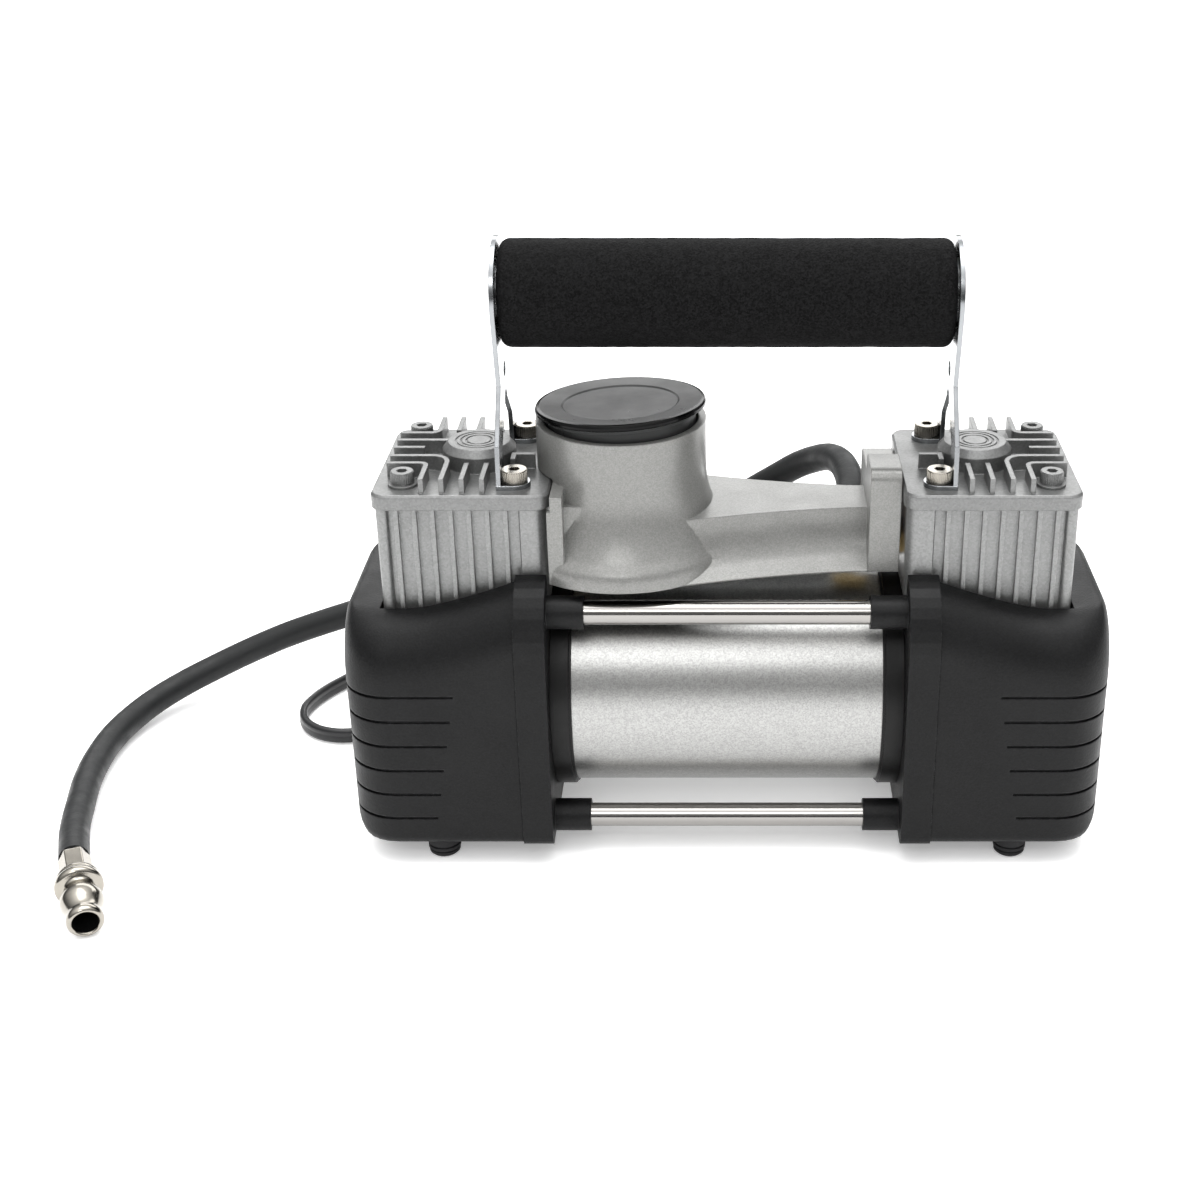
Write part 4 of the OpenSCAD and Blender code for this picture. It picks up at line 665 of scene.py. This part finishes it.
# At its end a hexagonal ferrule is crimped on the hose, and a quick plug is screwed into it: a
# double flange, a groove for the coupler's balls, a bulged barrel and a rolled nose.
PLUG_TURN = math.radians(-67.0)
PLUG_DIP = math.radians(5.2)
CRIMP_ROUND = 0.0005
FERRULE = [(-1.0, 4.6), (0.0, 5.3), (9.2, 5.3), (9.8, 4.9)]
PLUG_SIDES = 64
BORE_RINGS = 2
PLUG_PROFILE = [
    (9.4, 0.0), (9.4, 5.0), (10.4, 6.4), (11.6, 7.1), (12.6, 7.2), (13.1, 7.0), (13.5, 7.5),
    (14.3, 7.7), (15.4, 7.7), (16.1, 7.4), (16.5, 6.6), (16.6, 5.4), (17.2, 4.9), (18.4, 4.9),
    (19.2, 5.2), (20.4, 6.0), (21.8, 6.6), (23.4, 6.9), (24.8, 6.8), (26.6, 6.3), (28.6, 5.75),
    (30.2, 5.45), (30.9, 5.5), (31.4, 5.75), (32.4, 5.85), (33.4, 5.75), (34.1, 5.3),
    (34.4, 4.7), (34.1, 4.2), (33.4, 4.05), (22.0, 4.05), (22.0, 0.0),
]


def add_turned(name, profile, sides, smooth):
    """A shape turned about the hose's end, from (mm along the axis, mm radius) pairs."""
    ahead = Vector((math.cos(PLUG_TURN) * math.cos(PLUG_DIP),
        math.sin(PLUG_TURN) * math.cos(PLUG_DIP), -math.sin(PLUG_DIP)))
    across = ahead.cross(Vector((0, 0, 1))).normalized()
    up = across.cross(ahead)
    start = hose_route[-1]
    mesh = bpy.data.meshes.new(name)
    made = bmesh.new()
    rings = []
    for along, radius in profile:
        middle = start + ahead * along / 1000
        if radius == 0:
            rings.append([made.verts.new(middle)])
            continue
        rings.append([made.verts.new(middle + (across * math.cos(2 * math.pi * k / sides)
            + up * math.sin(2 * math.pi * k / sides)) * radius / 1000) for k in range(sides)])
    for a, b in zip(rings, rings[1:]):
        for k in range(sides):
            n = (k + 1) % sides
            corners = (a[k % len(a)], a[n % len(a)], b[n % len(b)], b[k % len(b)])
            made.faces.new(list(dict.fromkeys(corners)))
    for ring in (rings[0], rings[-1]):
        if len(ring) > 1:
            made.faces.new(ring)
    bmesh.ops.recalc_face_normals(made, faces=made.faces)
    made.to_mesh(mesh)
    made.free()
    for face in mesh.polygons:
        face.use_smooth = smooth
    piece = bpy.data.objects.new(name, mesh)
    scene.collection.objects.link(piece)
    if not smooth:
        rounding = piece.modifiers.new("crimped_edges", "BEVEL")
        rounding.width = CRIMP_ROUND
        rounding.segments = 3
    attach(piece, "machine")
    return piece


ferrule = add_turned("crimped_ferrule", FERRULE, 6, False)
quick_plug = add_turned("turned_quick_plug", PLUG_PROFILE, PLUG_SIDES, True)
for piece, node in ((ferrule, "hose_ferrule"), (quick_plug, "quick_plug")):
    piece.data.materials.append(bright_nickel)
    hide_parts(node)
# The faces of the plug's bore take a near-black finish: painted shade in the hollow.
quick_plug.data.materials.append(new_finish("bore_painted_shade", (0.004, 0.004, 0.004), 0.5,
    specular=0.1))
for face in list(quick_plug.data.polygons)[-BORE_RINGS * PLUG_SIDES:]:
    face.material_index = 1

# The power lead is a flat twin flex, 6 mm wide, 3 m long, out of a rubber strain relief. It makes
# one bight beside the casing and is wound into a hank behind the machine: two layers of four
# turns, tied at the middle.
LEAD_D = 0.006
LEAD_THICK = 0.0031
CORE_SEAM_DEGREES = -50
CORE_ARC_DEGREES = 280
CORE_STEPS = 6
LEAD_ROUTE_MM = [
    (-100, 65.5, 20), (-100, 73, 19.6), (-101.2, 80, 18), (-104.6, 87, 15), (-110, 93, 11.6),
    (-117.5, 97, 8.4), (-126, 98, 5.8), (-134.5, 95.8, 4.2), (-141.8, 91, 3.3),
    (-147.6, 84.5, 3), (-152.6, 77.5, 3), (-157.2, 70.5, 3), (-160.8, 62.8, 3), (-162.8, 54, 3),
    (-160.4, 44.8, 3), (-153.7, 38.1, 3), (-144.5, 35.7, 3), (-135.3, 38.1, 3),
    (-128.6, 44.8, 3), (-123.2, 53.6, 3), (-117.5, 62.3, 3), (-112.6, 70.8, 3),
    (-107.6, 79.2, 3), (-101.6, 86.6, 3), (-94, 92.6, 3), (-86, 96.2, 3), (-78, 97.2, 3),
]
TAIL_ROUTE_MM = [(-80, 97.2, 9), (-72, 97, 9.1), (-64, 95.5, 9.5), (-56, 92.5, 9.9),
    (-48.5, 88.8, 10.2), (-41.5, 85.6, 10.4), (-35, 84.1, 10.5)]
HANK_ENDS = (-0.080, 0.014)
HANK_TIE_X = -0.030
HANK_TIE_HALF = 0.004
HANK_Y = 0.1276
HANK_RINGS = 4
HANK_LAYERS = 2
HANK_PITCH = 0.0031
HANK_INNER = 0.018
HANK_STEPS = 64
HANK_CLIMB_TURNS = 0.4


def hank_point(turn, inward, height):
    """A point of the hank after so many turns; a turn starts at the front of the left end."""
    run = HANK_ENDS[1] - HANK_ENDS[0]
    slot = (HANK_RINGS + 0.5 - turn) if inward else (turn + 0.5)
    radius = HANK_INNER + (slot - 0.5) * HANK_PITCH
    arc = math.pi * (HANK_INNER + HANK_RINGS * HANK_PITCH / 2)
    s = (turn % 1.0) * (2 * run + 2 * arc)
    if s < run or run + arc <= s < 2 * run + arc:
        front = s < run
        along = s if front else s - run - arc
        x = HANK_ENDS[0] + along if front else HANK_ENDS[1] - along
        reach = HANK_TIE_X - HANK_ENDS[0] if x < HANK_TIE_X else HANK_ENDS[1] - HANK_TIE_X
        past_tie = abs(x - HANK_TIE_X) - HANK_TIE_HALF
        t = min(1.0, max(0.0, past_tie / (reach - HANK_TIE_HALF)))
        spread = (1 - math.cos(math.pi * t)) / 2
        off = slot * HANK_PITCH + (radius - slot * HANK_PITCH) * spread
        return Vector((x, HANK_Y + (-off if front else off), height))
    right = s < run + arc
    turned = (s - run) / arc if right else (s - 2 * run - arc) / arc
    angle = math.pi * (turned - 0.5 if right else turned + 0.5)
    x = HANK_ENDS[1] if right else HANK_ENDS[0]
    return Vector((x + radius * math.cos(angle), HANK_Y + radius * math.sin(angle), height))


def hank_route():
    """The lead's turns in the hank: in along the lower layer, up, and out along the upper one."""
    out = []
    for layer in range(HANK_LAYERS):
        for i in range(HANK_RINGS * HANK_STEPS):
            turn = i / HANK_STEPS
            height = LEAD_D * (layer + 0.5)
            left = HANK_RINGS - turn
            if layer < HANK_LAYERS - 1 and left < HANK_CLIMB_TURNS:
                climbed = 1 - left / HANK_CLIMB_TURNS
                height += LEAD_D * (1 - math.cos(math.pi * climbed)) / 2
            out.append(hank_point(turn, layer % 2 == 0, height))
    return out


def add_flat_lead(name, points):
    """A twin flex on its edge along the points: two round cores joined by a web."""
    core = LEAD_THICK / 2
    centre = LEAD_D / 2 - core
    upper = [(core * math.cos(a), centre + core * math.sin(a))
        for a in (math.radians(CORE_SEAM_DEGREES + CORE_ARC_DEGREES * k / CORE_STEPS)
            for k in range(CORE_STEPS + 1))]
    outline = upper + [(u, -v) for u, v in reversed(upper)]
    mesh = bpy.data.meshes.new(name)
    made = bmesh.new()
    rings = []
    for i, p in enumerate(points):
        ahead = points[min(i + 1, len(points) - 1)] - points[max(i - 1, 0)]
        across = Vector((ahead.y, -ahead.x, 0)).normalized()
        up = across.cross(ahead.normalized())
        if up.z < 0:
            up = -up
        rings.append([made.verts.new(p + across * u + up * v) for u, v in outline])
    count = len(outline)
    for a, b in zip(rings, rings[1:]):
        for k in range(count):
            made.faces.new((a[k], a[(k + 1) % count], b[(k + 1) % count], b[k]))
    made.faces.new(list(reversed(rings[0])))
    made.faces.new(rings[-1])
    bmesh.ops.recalc_face_normals(made, faces=made.faces)
    made.to_mesh(mesh)
    made.free()
    for face in mesh.polygons:
        face.use_smooth = True
    lead = bpy.data.objects.new(name, mesh)
    scene.collection.objects.link(lead)
    return lead


free_lead = smooth_route([Vector(p) / 1000 for p in LEAD_ROUTE_MM], 4)
tail = smooth_route([Vector(p) / 1000 for p in TAIL_ROUTE_MM], 4)
lead_route = free_lead[:-1] + hank_route() + tail[1:]
lead = add_flat_lead("twin_lead", lead_route)
lead.data.materials.append(new_finish("lead_sheath", (0.010, 0.010, 0.011), 0.34,
    mottle=(0.3, 90.0), relief=(700.0, 0.00002), specular=0.4))
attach(lead, "machine")
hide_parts("power_cord", "cord_hank")
dress(moulded_rubber, "strain_relief")
dress(moulded_black, "cord_tie", "power_plug")
dress(bright_nickel, "plug_tip")
